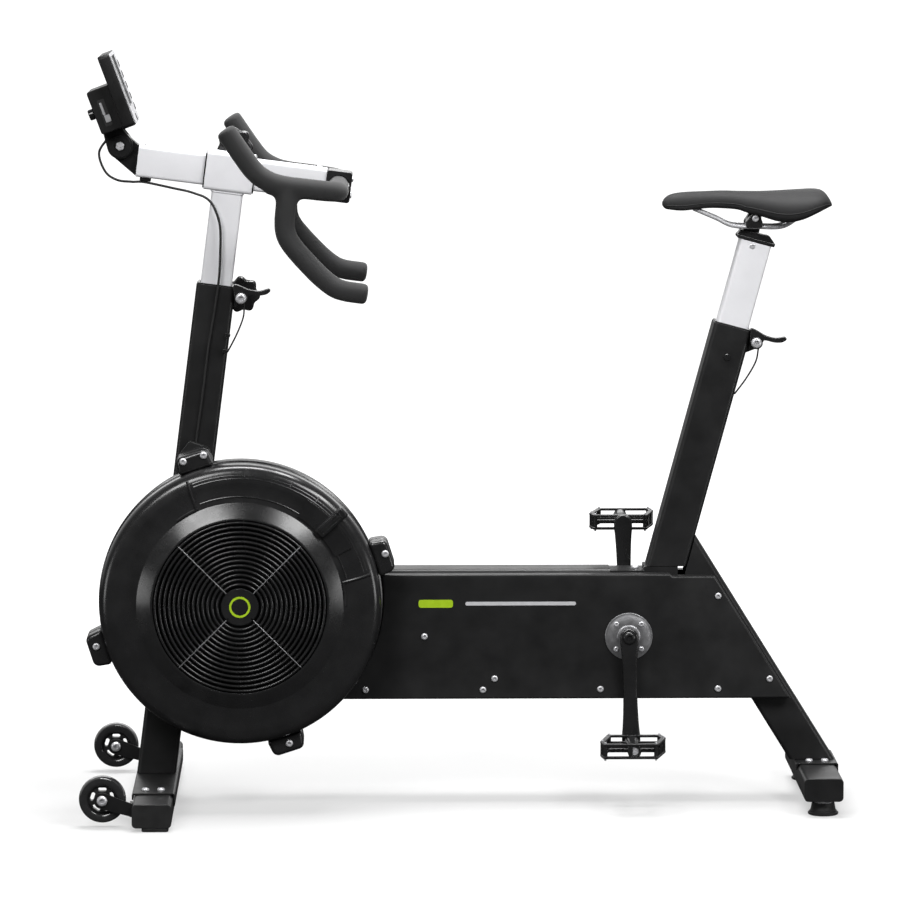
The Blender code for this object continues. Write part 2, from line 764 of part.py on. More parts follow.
def build_counter_shaft(world, steel, black):
    """The cross shaft with its small pulley, driven on the left, and the large pulley on the right."""
    axis = world.at("counter_axis", (COUNTER_AXIS[0], 0, COUNTER_AXIS[1]))
    end = PULLEY_OUTER_Y
    profile = [
        (0.0, -end),
        (SHAFT_RADIUS, -end),
        (SHAFT_RADIUS, PULLEY_INNER_Y),
        (COUNTER_SMALL_RADIUS, PULLEY_INNER_Y),
        (COUNTER_SMALL_RADIUS, end),
        (0.0, end),
    ]
    place("counter_shaft", turned(lathe(profile)), steel, axis)
    large = pulley(COUNTER_LARGE_RADIUS, SHAFT_RADIUS + GAP, -PULLEY_OUTER_Y, -PULLEY_INNER_Y, 32)
    place("counter_pulley", turned(large), black, axis)


def build_fan(fan, steel, metal):
    """The fan shaft, with its belt pulley on the right of the frame, and the fan wheel on the left."""
    profile = [
        (0.0, -PULLEY_OUTER_Y),
        (FAN_PULLEY_RADIUS, -PULLEY_OUTER_Y),
        (FAN_PULLEY_RADIUS, -PULLEY_INNER_Y),
        (SHAFT_RADIUS, -PULLEY_INNER_Y),
        (SHAFT_RADIUS, GRILLE_REACH - 0.010),
        (0.0, GRILLE_REACH - 0.010),
    ]
    place("fan_shaft", turned(lathe(profile)), steel, fan)
    wheel = [
        (SHAFT_RADIUS + GAP, 0.048),
        (SHAFT_RADIUS + GAP, 0.125),
        (0.026, 0.125),
        (0.032, 0.052),
        (0.196, 0.052),
        (0.196, 0.112),
        (0.204, 0.112),
        (0.204, 0.048),
    ]
    place("fan_wheel", turned(lathe(wheel, 36)), metal, fan)


def add_lugs(cage, fan, low, high):
    """The four lugs round the rim that the cage's screws go through."""
    root = CAGE_RADIUS - CAGE_WALL / 3
    tips = circle(LUG_RADIUS, (LUG_CENTRE, LUG_SPREAD)) + circle(LUG_RADIUS, (LUG_CENTRE, -LUG_SPREAD))
    outline = hull(tips + [(root, 0.030), (root, -0.030)])
    lugs = []
    for angle in LUG_ANGLES:
        lug = prism(outline, low, high, "Z")
        lug.transform(Matrix.Rotation(math.radians(angle), 4, "Z"))
        lugs.append(lug)
    fuse(cage, turned(joined(lugs)), fan)


def build_cage(fan, plastic):
    """The two halves of the fan's housing. The left one carries the ring grille."""
    wall = CAGE_WALL
    rear = [
        (0.060, CAGE_BACK),
        (CAGE_RADIUS - 0.010, CAGE_BACK),
        (CAGE_RADIUS, CAGE_BACK + 0.010),
        (CAGE_RADIUS, CAGE_PARTING - GAP),
        (CAGE_RADIUS - wall, CAGE_PARTING - GAP),
        (CAGE_RADIUS - wall, CAGE_BACK + 0.011),
        (CAGE_RADIUS - 0.011, CAGE_BACK + wall),
        (0.060, CAGE_BACK + wall),
    ]
    back = place("fan_cage_rear", turned(lathe(rear, 40)), plastic, fan)
    add_lugs(back, fan, CAGE_BACK + 0.012, CAGE_PARTING - 0.0005)

    front = [
        (CAGE_RADIUS, CAGE_PARTING),
        (CAGE_RADIUS, 0.1230),
        (0.2250, 0.1345),
        (0.2175, 0.1415),
        (0.2060, CAGE_FACE - 0.001),
        (BEVEL_OUTER, CAGE_FACE),
        (BEVEL_INNER, GRILLE_REACH),
        (0.1380, GRILLE_REACH),
        (0.1380, GRILLE_REACH - wall),
        (BEVEL_INNER - 0.002, GRILLE_REACH - wall),
        (BEVEL_OUTER - 0.002, CAGE_FACE - wall),
        (0.2060, CAGE_FACE - wall - 0.001),
        (0.2155, 0.1385),
        (0.2222, 0.1328),
        (CAGE_RADIUS - wall, 0.1230),
        (CAGE_RADIUS - wall, CAGE_PARTING),
    ]
    cover = place("fan_cage_front", turned(lathe(front, 40)), plastic, fan)
    add_lugs(cover, fan, CAGE_PARTING + GAP, 0.1200)
    disc = circle(0.1400, steps=40, start=1.0)
    fuse(cover, turned(prism(disc, GRILLE_REACH - wall + 0.0004, GRILLE_REACH - 0.0004, "Z")), fan)
    cut(cover, turned(grille_slots()), fan)


def grille_slots():
    """Ring slots between the hub disc and the rim, broken by four diagonal spokes."""
    slots = []
    rings = 4
    bar = 0.0085
    pitch = (GRILLE_RADIUS - HUB_DISC_RADIUS + bar) / rings
    for ring in range(rings):
        inner = HUB_DISC_RADIUS + ring * pitch
        outer = inner + pitch - bar
        clear = [math.degrees(math.asin(SPOKE_HALF_WIDTH / r)) for r in (inner, outer)]
        for quarter in range(4):
            first = 45.0 + 90.0 * quarter
            start = [first + c for c in clear]
            end = [first + 90.0 - c for c in clear]
            slots.append(ring_sector(inner, outer, start, end, GRILLE_REACH - 0.02, GRILLE_REACH + 0.02))
    return joined(slots)


def build_damper(fan, plastic):
    """The sliding shutter over the cage's air outlet, with its lever, turning about the fan axis."""
    low = CAGE_FACE + GAP
    high = low + 0.0030
    start = DAMPER_ANGLE - DAMPER_HALF_ANGLE
    ends = [start, start], [start + 2 * DAMPER_HALF_ANGLE] * 2
    plate = ring_sector(DAMPER_INNER, DAMPER_OUTER, *ends, low, high, 8)
    damper = place("damper_slider", turned(plate), plastic, fan)
    lever = prism(rounded(0.054, 0.016, 0.004, (0.2010, 0)), low + 0.001, low + 0.010, "Z")
    lever.transform(Matrix.Rotation(math.radians(DAMPER_ANGLE), 4, "Z"))
    fuse(damper, turned(lever), fan)


# ---------------------------------------------------------------------------
# Handlebar end


def build_handlebar_post(front, post, white):
    """The sliding post and the sleeve welded across its top, with the lug for the beam clamp."""
    low = COLUMN_TOP - POST_INSERTED
    sleeve_low = SLEEVE_CENTRE - SLEEVE_HEIGHT / 2
    mesh = square_pipe(POST, 0.005, POST_WALL, low, sleeve_low - GAP)
    place("handlebar_post", mesh, white, front, post)
    outer = rounded(TUBE, SLEEVE_HEIGHT, 0.006, (0, SLEEVE_CENTRE))
    inner = rounded(POST + 0.001, POST + 0.001, 0.0055, (0, SLEEVE_CENTRE))
    half = SLEEVE_LENGTH / 2
    sleeve = place("beam_sleeve", pipe(outer, inner, -half, half, "X"), white, front, post)
    top = SLEEVE_CENTRE + SLEEVE_HEIGHT / 2
    fuse(sleeve, prism(rectangle(-0.012, 0.016, top - 0.002, BEAM_KNOB_W + 0.009), -0.012, 0.030), front)
    cut(sleeve, shifted(turned(rod(0.0046, -0.05, 0.05)), (0.002, 0, BEAM_KNOB_W)), front)


def knob_mesh(bolt_end):
    """A star knob on the right of its clamp and the bolt through it. The bolt's head is on the left."""
    knob = prism(star(KNOB_RADIUS, KNOB_LOBES, 0.0050), 0.0345, 0.0560)
    bolt = turned(rod(0.0040, -0.0400, bolt_end + 0.002))
    head = turned(rod(0.0091, bolt_end, bolt_end + 0.0050, 12))
    return knob, bolt, head


def build_knob(name, axis, bolt_end, plastic):
    knob, bolt, head = knob_mesh(bolt_end)
    obj = place(name, knob, plastic, axis)
    fuse(obj, bolt, axis)
    fuse(obj, head, axis)


def build_release_lever(name, axis, plastic):
    """A finger lever on the left of a clamp, pivoting on the clamp bolt."""
    blade = [
        (-0.0110, 0.0200),
        (-0.0070, 0.0245),
        (0.0000, 0.0250),
        (0.0170, 0.0230),
        (0.0340, 0.0208),
        (0.0425, 0.0218),
        (0.0460, 0.0200),
        (0.0456, 0.0170),
        (0.0370, 0.0105),
        (0.0216, 0.0067),
    ]
    eye = circle(0.0105, steps=8, start=20.0, sweep=-200.0)
    lever = place(name, prism(blade + eye, -0.0390, -0.0240), plastic, axis)
    cut(lever, turned(rod(0.0046, 0.0, 0.06)), axis)


def build_beam(world, front, beam, white, black, grip):
    """The sliding beam with the bar clamp behind and the monitor bracket in front."""
    outer = rounded(POST, POST, 0.005, (0, SLEEVE_CENTRE))
    inner = rounded(POST - 2 * POST_WALL, POST - 2 * POST_WALL, 0.0035, (0, SLEEVE_CENTRE))
    place("handlebar_beam", pipe(outer, inner, BEAM_FRONT, BEAM_REAR, "X"), white, front, beam)
    block = rounded(0.0415, 0.0500, 0.005, (BEAM_REAR + GAP + 0.02075, SLEEVE_CENTRE - 0.0005))
    clamp = place("bar_clamp", prism(block, -0.030, 0.030), black, front, beam)
    cut(clamp, shifted(turned(rod(BAR_RADIUS + 0.0004, -0.05, 0.05, 20)), (BAR_U, 0, BAR_W)), front)
    hinge = front.matrix.inverted() @ world.matrix @ Vector(HINGE_POINT)
    end = BEAM_FRONT - GAP
    corners = [(end, SLEEVE_CENTRE + 0.0250), (end, SLEEVE_CENTRE - 0.0250)]
    arm = hull(circle(HINGE_RADIUS, (hinge.x, hinge.z), 20) + corners)
    place("monitor_bracket", prism(arm, -0.0125, 0.0125), black, front, beam)
    build_handlebar(front, beam, grip)


def build_handlebar(front, beam, grip):
    """Foam-covered bar: a cross piece, a forward run and raised horn each side, and a drop under each."""
    horn = [
        (BAR_U, 0.080, BAR_W),
        (BAR_U, 0.145, BAR_W),
        (0.1715, 0.173, BAR_W),
        (0.1500, 0.192, BAR_W),
        (0.1161, 0.197, BAR_W),
        (0.0960, 0.198, BAR_W),
        (0.0711, 0.200, 1.0406),
        (0.0458, 0.200, 1.0517),
        (0.0224, 0.200, 1.0744),
        (-0.0089, 0.200, 1.1087),
    ]
    drop = [
        (0.0965, 0.198, BAR_W),
        (0.0974, 0.200, 1.0087),
        (0.1000, 0.201, 0.9720),
        (0.1110, 0.203, 0.9470),
        (0.1477, 0.208, 0.9120),
        (0.1741, 0.211, 0.8926),
        (0.1960, 0.214, 0.8850),
        (0.2418, 0.216, 0.8871),
    ]
    left = [(u, -y, w) for u, y, w in reversed(horn)]
    bar = place("handlebar", tube(smooth_path(left + horn, 2), BAR_RADIUS, 10), grip, front, beam)
    for side in (-1, 1):
        path = smooth_path([(u, side * y, w) for u, y, w in drop], 2)
        fuse(bar, tube(path, BAR_RADIUS - 0.0003, 10), front)


def build_monitor(world, screen, black, buttons_grey):
    """Display unit with five keys beside the screen and one below, on a tilting rear housing."""
    width = 2 * SCREEN_HALF_WIDTH
    height = SCREEN_TOP - SCREEN_BOTTOM
    face = rounded(width, height, 0.008, (0, (SCREEN_TOP + SCREEN_BOTTOM) / 2))
    housing = place("monitor_housing", prism(face, SCREEN_BACK, SCREEN_FACE, "X"), black, screen)
    keys = [(f"monitor_key_{i + 1}", BUTTON_Y, BUTTON_LOW_W + BUTTON_PITCH * i) for i in range(5)]
    keys.append(("monitor_menu_key", 0.0, 0.0350))
    for name, y, w in keys:
        pocket = rounded(0.0180, 0.0130, 0.003, (y, w))
        cut(housing, prism(pocket, SCREEN_FACE - 0.0045, SCREEN_FACE + 0.01, "X"), screen)
        axis = screen.at(f"{name}_axis", (SCREEN_FACE, y, w))
        key = rounded(0.0170, 0.0120, 0.003)
        place(name, prism(key, -0.0030, 0.0028, "X"), buttons_grey, axis)
    box = rectangle(-0.0190, SCREEN_BACK - GAP, 0.0280, 0.1003)
    rear = place("monitor_rear_box", prism(box, -0.0550, 0.0550), black, screen)
    ear = circle(HINGE_RADIUS, (0, 0), 20)
    neck = rectangle(-0.0180, 0.0120, 0.0, 0.0320)
    for side in (-1, 1):
        ends = sorted((side * 0.0130, side * 0.0220))
        fuse(rear, prism(ear, *ends), screen)
        fuse(rear, prism(neck, ends[0] + 0.0002, ends[1] - 0.0002), screen)


# ---------------------------------------------------------------------------
# Seat end


def build_seat_post(world, seat, post, white, black):
    """The sliding seat post and the head block with the eye that the saddle tilts on."""
    low = SEAT_TUBE_TOP - POST_INSERTED
    place("seat_post", square_pipe(POST + 0.001, 0.005, POST_WALL, low, SEAT_POST_TOP), white, seat, post)
    cap = rounded(0.063, 0.056, 0.006)
    head = place("seat_head", prism(cap, SEAT_POST_TOP + GAP, SEAT_POST_TOP + 0.0060, "Z"), black, seat, post)
    block = rounded(0.060, 0.033, 0.004)
    fuse(head, prism(block, SEAT_POST_TOP + 0.0050, SEAT_POST_TOP + 0.0145, "Z"), seat)
    pivot = seat.matrix.inverted() @ world.matrix @ Vector(SADDLE_PIVOT)
    eye = hull(circle(0.0115, (pivot.x, pivot.z)) + [(-0.016, SEAT_POST_TOP + 0.013), (0.012, SEAT_POST_TOP + 0.013)])
    fuse(head, prism(eye, -0.0100, 0.0100), seat)
    cut(head, shifted(turned(rod(0.0046, -0.05, 0.05)), (pivot.x, 0, pivot.z)), seat)


def build_saddle(world, saddle, black, steel):
    """The padded saddle, and its two rails joined by the clamp that tilts on the head."""
    sides = 16
    points = []
    for x, half, top, bottom in SADDLE_STATIONS:
        middle = (top + bottom) / 2
        for a, b in circle(1.0, steps=sides):
            crown = (top - middle) * b if b > 0 else (middle - bottom) * b
            points.append((x, half * a, middle + crown))
    faces = []
    for index in range(len(SADDLE_STATIONS) - 1):
        faces += side_faces(index * sides, (index + 1) * sides, sides)
    last = (len(SADDLE_STATIONS) - 1) * sides
    faces += [tuple(range(sides)), tuple(range(last, last + sides))]
    place("saddle", mesh_of(points, faces), black, world, saddle)

    x, z = SADDLE_PIVOT[0], SADDLE_PIVOT[2]
    cheek = hull(circle(0.0120, (x, z), 12) + circle(0.0060, (x, z - 0.012), 8))
    rails = place("saddle_rails", prism(cheek, -0.0290, -0.0105), steel, world, saddle)
    fuse(rails, prism(cheek, 0.0105, 0.0290), world)
    fuse(rails, shifted(turned(rod(0.0041, -0.012, 0.012)), (x, 0, z)), world)
    for side in (-1, 1):
        rail = [
            (0.3850, side * 0.009, 0.9630),
            (0.4150, side * 0.016, 0.9540),
            (0.4420, side * RAIL_Y, 0.9420),
            (0.4800, side * RAIL_Y, 0.9400),
            (0.5200, side * RAIL_Y, 0.9400),
            (0.5420, side * 0.030, 0.9520),
            (0.5540, side * 0.034, 0.9590),
        ]
        fuse(rails, tube(smooth_path(rail, 2), RAIL_RADIUS, 8), world)


# ---------------------------------------------------------------------------
# Monitor lead


def build_lead(world, beam, post, rubber):
    """The monitor's lead, clipped under the beam and then to the column, in two lengths."""
    radius = 0.0020
    upper = [
        (-0.5690, 0.0, 1.0850),
        (-0.5840, -0.004, 1.0600),
        (-0.5740, -0.008, 1.0300),
        (-0.5548, -0.010, 1.0165),
        (-0.5300, -0.012, 1.0135),
        (-0.5098, -0.014, 1.0130),
        (-0.4623, -0.022, 1.0040),
        (-0.4159, -0.031, 0.9925),
    ]
    lower = [
        (-0.4150, -0.0312, 0.9920),
        (-0.3975, -0.0350, 0.9697),
        (-0.3883, -0.0352, 0.9432),
        (-0.3880, -0.0352, 0.9000),
        (-0.3912, -0.0360, 0.8511),
        (-0.4041, -0.0365, 0.7700),
        (-0.4086, -0.0365, 0.7440),
        (-0.4180, -0.0365, 0.6700),
        (-0.4300, -0.0350, 0.5850),
    ]
    place("monitor_lead_upper", tube(smooth_path(upper, 3), radius, 6), rubber, world, beam)
    place("monitor_lead_lower", tube(smooth_path(lower, 3), radius, 6), rubber, world, post)


def main():
    clear_scene()
    paint = finish("black_powder_coat", (0.012, 0.012, 0.013), 0.45)
    white = finish("white_paint", (0.80, 0.80, 0.80), 0.35)
    plastic = finish("black_plastic", (0.010, 0.010, 0.011), 0.30)
    grip = finish("grip_foam", (0.020, 0.020, 0.021), 0.70)
    rubber = finish("black_rubber", (0.010, 0.010, 0.010), 0.60)
    steel = finish("bright_steel", (0.60, 0.60, 0.60), 0.25, 1.0)
    metal = finish("fan_metal", (0.15, 0.15, 0.16), 0.40, 1.0)
    plate = finish("grey_plate", (0.10, 0.10, 0.10), 0.45, 0.5)
    key_grey = finish("key_rubber", (0.05, 0.05, 0.05), 0.60)

    world = Frame("bike_frame", Matrix.Translation((CENTRE_SHIFT, 0, 0)))
    front = world.at("front_column_axis", (FRONT_BASE_X, 0, 0), FRONT_RAKE)
    seat = world.at("seat_tube_axis", (SEAT_BASE_X, 0, 0), SEAT_RAKE)
    leg = world.at("rear_leg_axis", (LEG_BASE_X, 0, 0), LEG_RAKE)
    fan = world.at("fan_axis", (FAN_AXIS[0], 0, FAN_AXIS[1]))

    build_front_frame(front, paint)
    build_seat_frame(seat, leg, paint)
    build_body_beam(world, front, paint)
    build_crank_housing(world, paint)
    cover_radius = CAGE_RADIUS + 0.0035
    arc = cage_arc(cover_radius, COVER_TOP_Z, COVER_BOTTOM_Z)
    inset_arc = cage_arc(cover_radius + COVER_SHEET, COVER_TOP_Z - COVER_SHEET, COVER_BOTTOM_Z + COVER_SHEET)
    build_side_cover(world, "side_cover_left", -1, arc, inset_arc, paint)
    build_side_cover(world, "side_cover_right", 1, slope(0.0), slope(COVER_SHEET), paint)
    build_foot_bars(world, paint, rubber)
    for side, word in ((-1, "left"), (1, "right")):
        build_transport_wheel(world, side, word, paint, rubber)

    build_crank_set(world, steel, plastic, plate)
    build_counter_shaft(world, steel, plastic)
    build_fan(fan, steel, metal)
    crank_side = (-PULLEY_OUTER_Y + 0.001, -PULLEY_INNER_Y - 0.001)
    fan_side = (PULLEY_INNER_Y + 0.001, PULLEY_OUTER_Y - 0.001)
    crank = (CRANK_AXIS, CRANK_PULLEY_RADIUS)
    build_belt(world, "crank_belt", crank, (COUNTER_AXIS, COUNTER_SMALL_RADIUS), *crank_side, rubber)
    counter = (COUNTER_AXIS, COUNTER_LARGE_RADIUS)
    build_belt(world, "fan_belt", counter, (FAN_AXIS, FAN_PULLEY_RADIUS), *fan_side, rubber)
    build_cage(fan, plastic)
    build_damper(fan, plastic)

    post = front.at("handlebar_post_axis", (0, 0, COLUMN_TOP))
    beam = front.at("handlebar_beam_axis", (0, 0, SLEEVE_CENTRE))
    build_handlebar_post(front, post, white)
    build_beam(world, front, beam, white, paint, grip)
    column_clamp = front.at("front_clamp_axis", (CLAMP_PIVOT_U, 0, COLUMN_TOP - CLAMP_PIVOT_DROP))
    build_knob("front_knob", column_clamp, 0.0393, plastic)
    build_release_lever("front_release_lever", column_clamp, plastic)
    beam_clamp = front.at("beam_clamp_axis", (0.002, 0, BEAM_KNOB_W))
    build_knob("beam_knob", beam_clamp, 0.0123, plastic)
    screen = world.at("monitor_hinge", HINGE_POINT, MONITOR_RAKE)
    build_monitor(world, screen, plastic, key_grey)
    build_lead(world, beam, post, rubber)

    seat_slide = seat.at("seat_post_axis", (0, 0, SEAT_TUBE_TOP))
    build_seat_post(world, seat, seat_slide, white, paint)
    saddle = world.at("saddle_tilt_axis", SADDLE_PIVOT)
    build_saddle(world, saddle, grip, steel)
    seat_clamp = seat.at("seat_clamp_axis", (CLAMP_PIVOT_U, 0, SEAT_TUBE_TOP - CLAMP_PIVOT_DROP))
    build_release_lever("seat_release_lever", seat_clamp, plastic)


main()
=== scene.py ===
"""Finished look of the air-resistance exercise bike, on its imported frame.

Metres, +Z up. The bike faces -X and the rider's left is -Y. Most pieces are drawn in the frame of
the tube or axle that they belong to, with u rearward and w up the tube. "Reach" is the distance
from the middle plane towards the rider's left.
"""

import json
import math

import bmesh
import bpy
from mathutils import Matrix, Vector

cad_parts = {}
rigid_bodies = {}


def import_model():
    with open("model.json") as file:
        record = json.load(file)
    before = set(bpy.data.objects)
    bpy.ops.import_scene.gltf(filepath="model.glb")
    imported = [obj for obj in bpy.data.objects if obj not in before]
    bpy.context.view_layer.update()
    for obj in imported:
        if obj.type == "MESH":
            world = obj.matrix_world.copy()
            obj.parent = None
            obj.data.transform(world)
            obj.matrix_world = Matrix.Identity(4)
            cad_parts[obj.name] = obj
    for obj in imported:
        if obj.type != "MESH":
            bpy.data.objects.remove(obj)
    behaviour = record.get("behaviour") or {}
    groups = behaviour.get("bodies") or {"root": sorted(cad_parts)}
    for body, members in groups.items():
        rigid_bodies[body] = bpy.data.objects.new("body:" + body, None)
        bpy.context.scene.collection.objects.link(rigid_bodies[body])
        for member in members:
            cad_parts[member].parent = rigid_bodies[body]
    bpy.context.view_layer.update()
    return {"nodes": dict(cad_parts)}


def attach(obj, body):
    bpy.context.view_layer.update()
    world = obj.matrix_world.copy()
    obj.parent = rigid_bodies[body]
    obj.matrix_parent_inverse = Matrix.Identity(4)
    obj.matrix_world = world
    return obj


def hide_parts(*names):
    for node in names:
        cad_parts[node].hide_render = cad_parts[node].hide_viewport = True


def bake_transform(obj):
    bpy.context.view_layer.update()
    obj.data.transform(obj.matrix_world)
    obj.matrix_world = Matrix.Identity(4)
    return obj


for leftover in list(bpy.data.objects):
    bpy.data.objects.remove(leftover)

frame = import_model()

# --- Driving dimensions, as in the CAD

CENTRE_SHIFT = -0.002475
TUBE = 0.063
TUBE_WALL = 0.002
TUBE_CORNER = 0.007
POST = 0.0505
POST_WALL = 0.0018
GAP = 0.0003

FRONT_BASE_X = -0.5026
FRONT_RAKE = math.radians(7.2)
COLUMN_TOP = 0.8526
SLEEVE_LENGTH = 0.078
SLEEVE_HEIGHT = 0.0625
SLEEVE_CENTRE = 1.0372
BEAM_FRONT = -0.15
BEAM_REAR = 0.156
SEAT_BASE_X = 0.2324
SEAT_RAKE = math.radians(15.15)
SEAT_TUBE_TOP = 0.8057
SEAT_POST_TOP = 0.947
POST_INSERTED = 0.23
LEG_BASE_X = 0.6179
LEG_RAKE = math.radians(-31.86)

FOOT_BAR_HEIGHT = 0.038
FRONT_BAR_X = -0.495
FRONT_BAR_WIDTH = 0.0628
FRONT_BAR_BOTTOM = 0.006
FRONT_BAR_HALF = 0.305
REAR_BAR_X = 0.5822
REAR_BAR_WIDTH = 0.0631
REAR_BAR_BOTTOM = 0.0255
REAR_BAR_HALF = 0.197
BRACKET_SHEET = 0.0025
FOOT_X = 0.5837
FOOT_Y = 0.163
WHEEL_X = -0.5743
WHEEL_Y = 0.258
WHEEL_Z = 0.0455
WHEEL_RADIUS = 0.0376
WHEEL_HALF_WIDTH = 0.0125

BEAM_BOTTOM_Z = 0.262
BEAM_TOP_Z = 0.382
BODY_BEAM_REAR_X = 0.2445
COVER_SHEET = 0.0012
COVER_FOLD = 0.003
COVER_OUTER_Y = 0.055
COVER_TOP_Z = 0.3768
COVER_BOTTOM_Z = 0.172
COVER_STEP_X = 0.341
COVER_STEP_Z = 0.3727

CRANK_AXIS = (0.2742, 0.2746)
COUNTER_AXIS = (-0.045, 0.3)
FAN_AXIS = (-0.3565, 0.3392)
CRANK_LENGTH = 0.17
CRANK_LEAN = math.radians(-1.3)
CRANK_INNER_Y = 0.0605
CRANK_OUTER_Y = 0.0755
CRANK_END_RADIUS = 0.0148
PEDAL_HALF_LENGTH = 0.054
PEDAL_NEAR_Y = 0.08
PEDAL_FAR_Y = 0.174
PEDAL_HALF_HEIGHT = 0.0125

CAGE_RADIUS = 0.2275
CAGE_WALL = 0.003
CAGE_BACK = 0.036
CAGE_PARTING = 0.085
CAGE_FACE = 0.145
GRILLE_REACH = 0.16
BEVEL_OUTER = 0.1664
BEVEL_INNER = 0.1433
RING_COUNT = 14
RING_FIRST = 0.0365
RING_PITCH = 0.0077
RING_WIDTH = 0.0042
HUB_DISC_RADIUS = 0.0303
LUG_ANGLES = (108, 18, -72, -162)
LUG_RADIUS = 0.011
LUG_CENTRE = 0.245
LUG_SPREAD = 0.016
DAMPER_ANGLE = 42.5

BAR_RADIUS = 0.0168
BAR_U = 0.1773
BAR_W = 1.0376
CLAMP_PIVOT_U = 0.0429
CLAMP_PIVOT_DROP = 0.0145
KNOB_RADIUS = 0.03
KNOB_LOBES = 7
BEAM_KNOB_W = 1.0784

HINGE_POINT = (-0.5493, 0.0, 1.0719)
MONITOR_RAKE = math.radians(-20.4)
HINGE_RADIUS = 0.021
SCREEN_BACK = 0.014
SCREEN_FACE = 0.0385
SCREEN_BOTTOM = 0.025
SCREEN_TOP = 0.1475
SCREEN_HALF_WIDTH = 0.078
KEYS = [(f"monitor_key_{i + 1}", 0.06, 0.05 + 0.0185 * i) for i in range(5)]
KEYS.append(("monitor_menu_key", 0.0, 0.035))

SADDLE_PIVOT = (0.4782, 0.0, 0.9539)
RAIL_RADIUS = 0.0035

SHARP = math.radians(35)

# Studio floor: its own glow near the bike, and how much of the light it returns
FLOOR_GLOW = 0.47
FLOOR_PALE = 0.32

# --- Frames


def at(place, x, y, z):
    return place @ Matrix.Translation((x, y, z))


def turn(degrees, axis):
    return Matrix.Rotation(math.radians(degrees), 4, axis)


def raked(x, y, z, angle):
    return at(WORLD, x, y, z) @ Matrix.Rotation(angle, 4, "Y")


WORLD = Matrix.Translation((CENTRE_SHIFT, 0, 0))
FRONT = raked(FRONT_BASE_X, 0, 0, FRONT_RAKE)
SEAT = raked(SEAT_BASE_X, 0, 0, SEAT_RAKE)
LEG = raked(LEG_BASE_X, 0, 0, LEG_RAKE)
SCREEN = raked(*HINGE_POINT, MONITOR_RAKE)
CRANK = raked(CRANK_AXIS[0], 0, CRANK_AXIS[1], CRANK_LEAN)
# Plan x and y of the fan frame are world X and Z, and its heights are reaches
SIDEWAYS = turn(90, "X")
FAN = at(WORLD, FAN_AXIS[0], 0, FAN_AXIS[1]) @ SIDEWAYS
FRONT_CLAMP = at(FRONT, CLAMP_PIVOT_U, 0, COLUMN_TOP - CLAMP_PIVOT_DROP)
SEAT_CLAMP = at(SEAT, CLAMP_PIVOT_U, 0, SEAT_TUBE_TOP - CLAMP_PIVOT_DROP)
OUTWARD = {side: turn(-side * 90, "X") for side in (-1, 1)}
SIDES = ((-1, "left"), (1, "right"))


def level(place, height):
    """Mitre that ends a raked tube on a level plane."""
    base = place.translation.z
    up = place.to_3x3() @ Vector((0, 0, 1))
    along_u = place.to_3x3() @ Vector((1, 0, 0))
    return lambda point: (height - base - point[0] * along_u.z) / up.z


# --- Outlines: lists of (a, b) points, counter-clockwise


def circle(radius, centre=(0.0, 0.0), steps=32, start=0.0, sweep=360.0):
    """Points along a circle, or along an arc with both its ends."""
    count = steps if sweep >= 360.0 else steps + 1
    angles = [math.radians(start + sweep * i / steps) for i in range(count)]
    return [(centre[0] + radius * math.cos(a), centre[1] + radius * math.sin(a)) for a in angles]


def rounded(width, height, corner, centre=(0.0, 0.0), steps=8):
    """A rectangle with round corners."""
    points = []
    a = width / 2 - corner
    b = height / 2 - corner
    for index, (da, db) in enumerate(((a, b), (-a, b), (-a, -b), (a, -b))):
        points += circle(corner, (centre[0] + da, centre[1] + db), steps, 90.0 * index, 90.0)
    return points


def rectangle(a0, a1, b0, b1):
    return [(a0, b0), (a1, b0), (a1, b1), (a0, b1)]


def hull(points):
    """The convex outline round a set of points."""
    ordered = sorted(set(points))

    def bend(o, a, b):
        return (a[0] - o[0]) * (b[1] - o[1]) - (a[1] - o[1]) * (b[0] - o[0])

    def half(sequence):
        chain = []
        for p in sequence:
            while len(chain) > 1 and bend(chain[-2], chain[-1], p) <= 1e-12:
                chain.pop()
            chain.append(p)
        return chain[:-1]

    return half(ordered) + half(ordered[::-1])


def inset(outline, distance):
    """The outline with every side moved inwards."""
    result = []
    for index, corner in enumerate(outline):
        here = Vector(corner)
        before = (here - Vector(outline[index - 1])).normalized()
        after = (Vector(outline[(index + 1) % len(outline)]) - here).normalized()
        middle = (before + after).normalized()
        inward = Vector((-middle.y, middle.x))
        reach = distance / max(0.3, inward.dot(Vector((-before.y, before.x))))
        result.append(tuple(here + inward * reach))
    return result


def star(radius, lobes, depth):
    """The wavy outline of a star knob."""
    count = lobes * 12
    angles = [2 * math.pi * i / count for i in range(count)]
    radii = [radius - depth * (1 - math.cos(lobes * a)) / 2 for a in angles]
    return [(r * math.cos(a), r * math.sin(a)) for r, a in zip(radii, angles)]


def span(side, near, far):
    """Two distances from the middle plane on one side of it, lowest first."""
    return sorted((side * near, side * far))


# --- Meshes


def mesh_of(points, faces):
    """A mesh with its faces turned outwards."""
    mesh = bpy.data.meshes.new("mesh")
    mesh.from_pydata([tuple(p) for p in points], [], faces)
    shape = bmesh.new()
    shape.from_mesh(mesh)
    bmesh.ops.recalc_face_normals(shape, faces=shape.faces)
    shape.to_mesh(mesh)
    shape.free()
    return mesh


def to_space(point, depth, axis):
    """An outline point at a depth along an axis, as X, Y and Z."""
    if axis == "X":
        return (depth, point[0], point[1])
    if axis == "Y":
        return (point[0], depth, point[1])
    return (point[0], point[1], depth)


def end_points(outline, end, axis):
    """An outline at one end: a distance along the axis, or a function of the point for a mitre."""
    return [to_space(p, end(p) if callable(end) else end, axis) for p in outline]


def side_faces(first, second, count):
    return [(first + i, first + (i + 1) % count, second + (i + 1) % count, second + i) for i in range(count)]


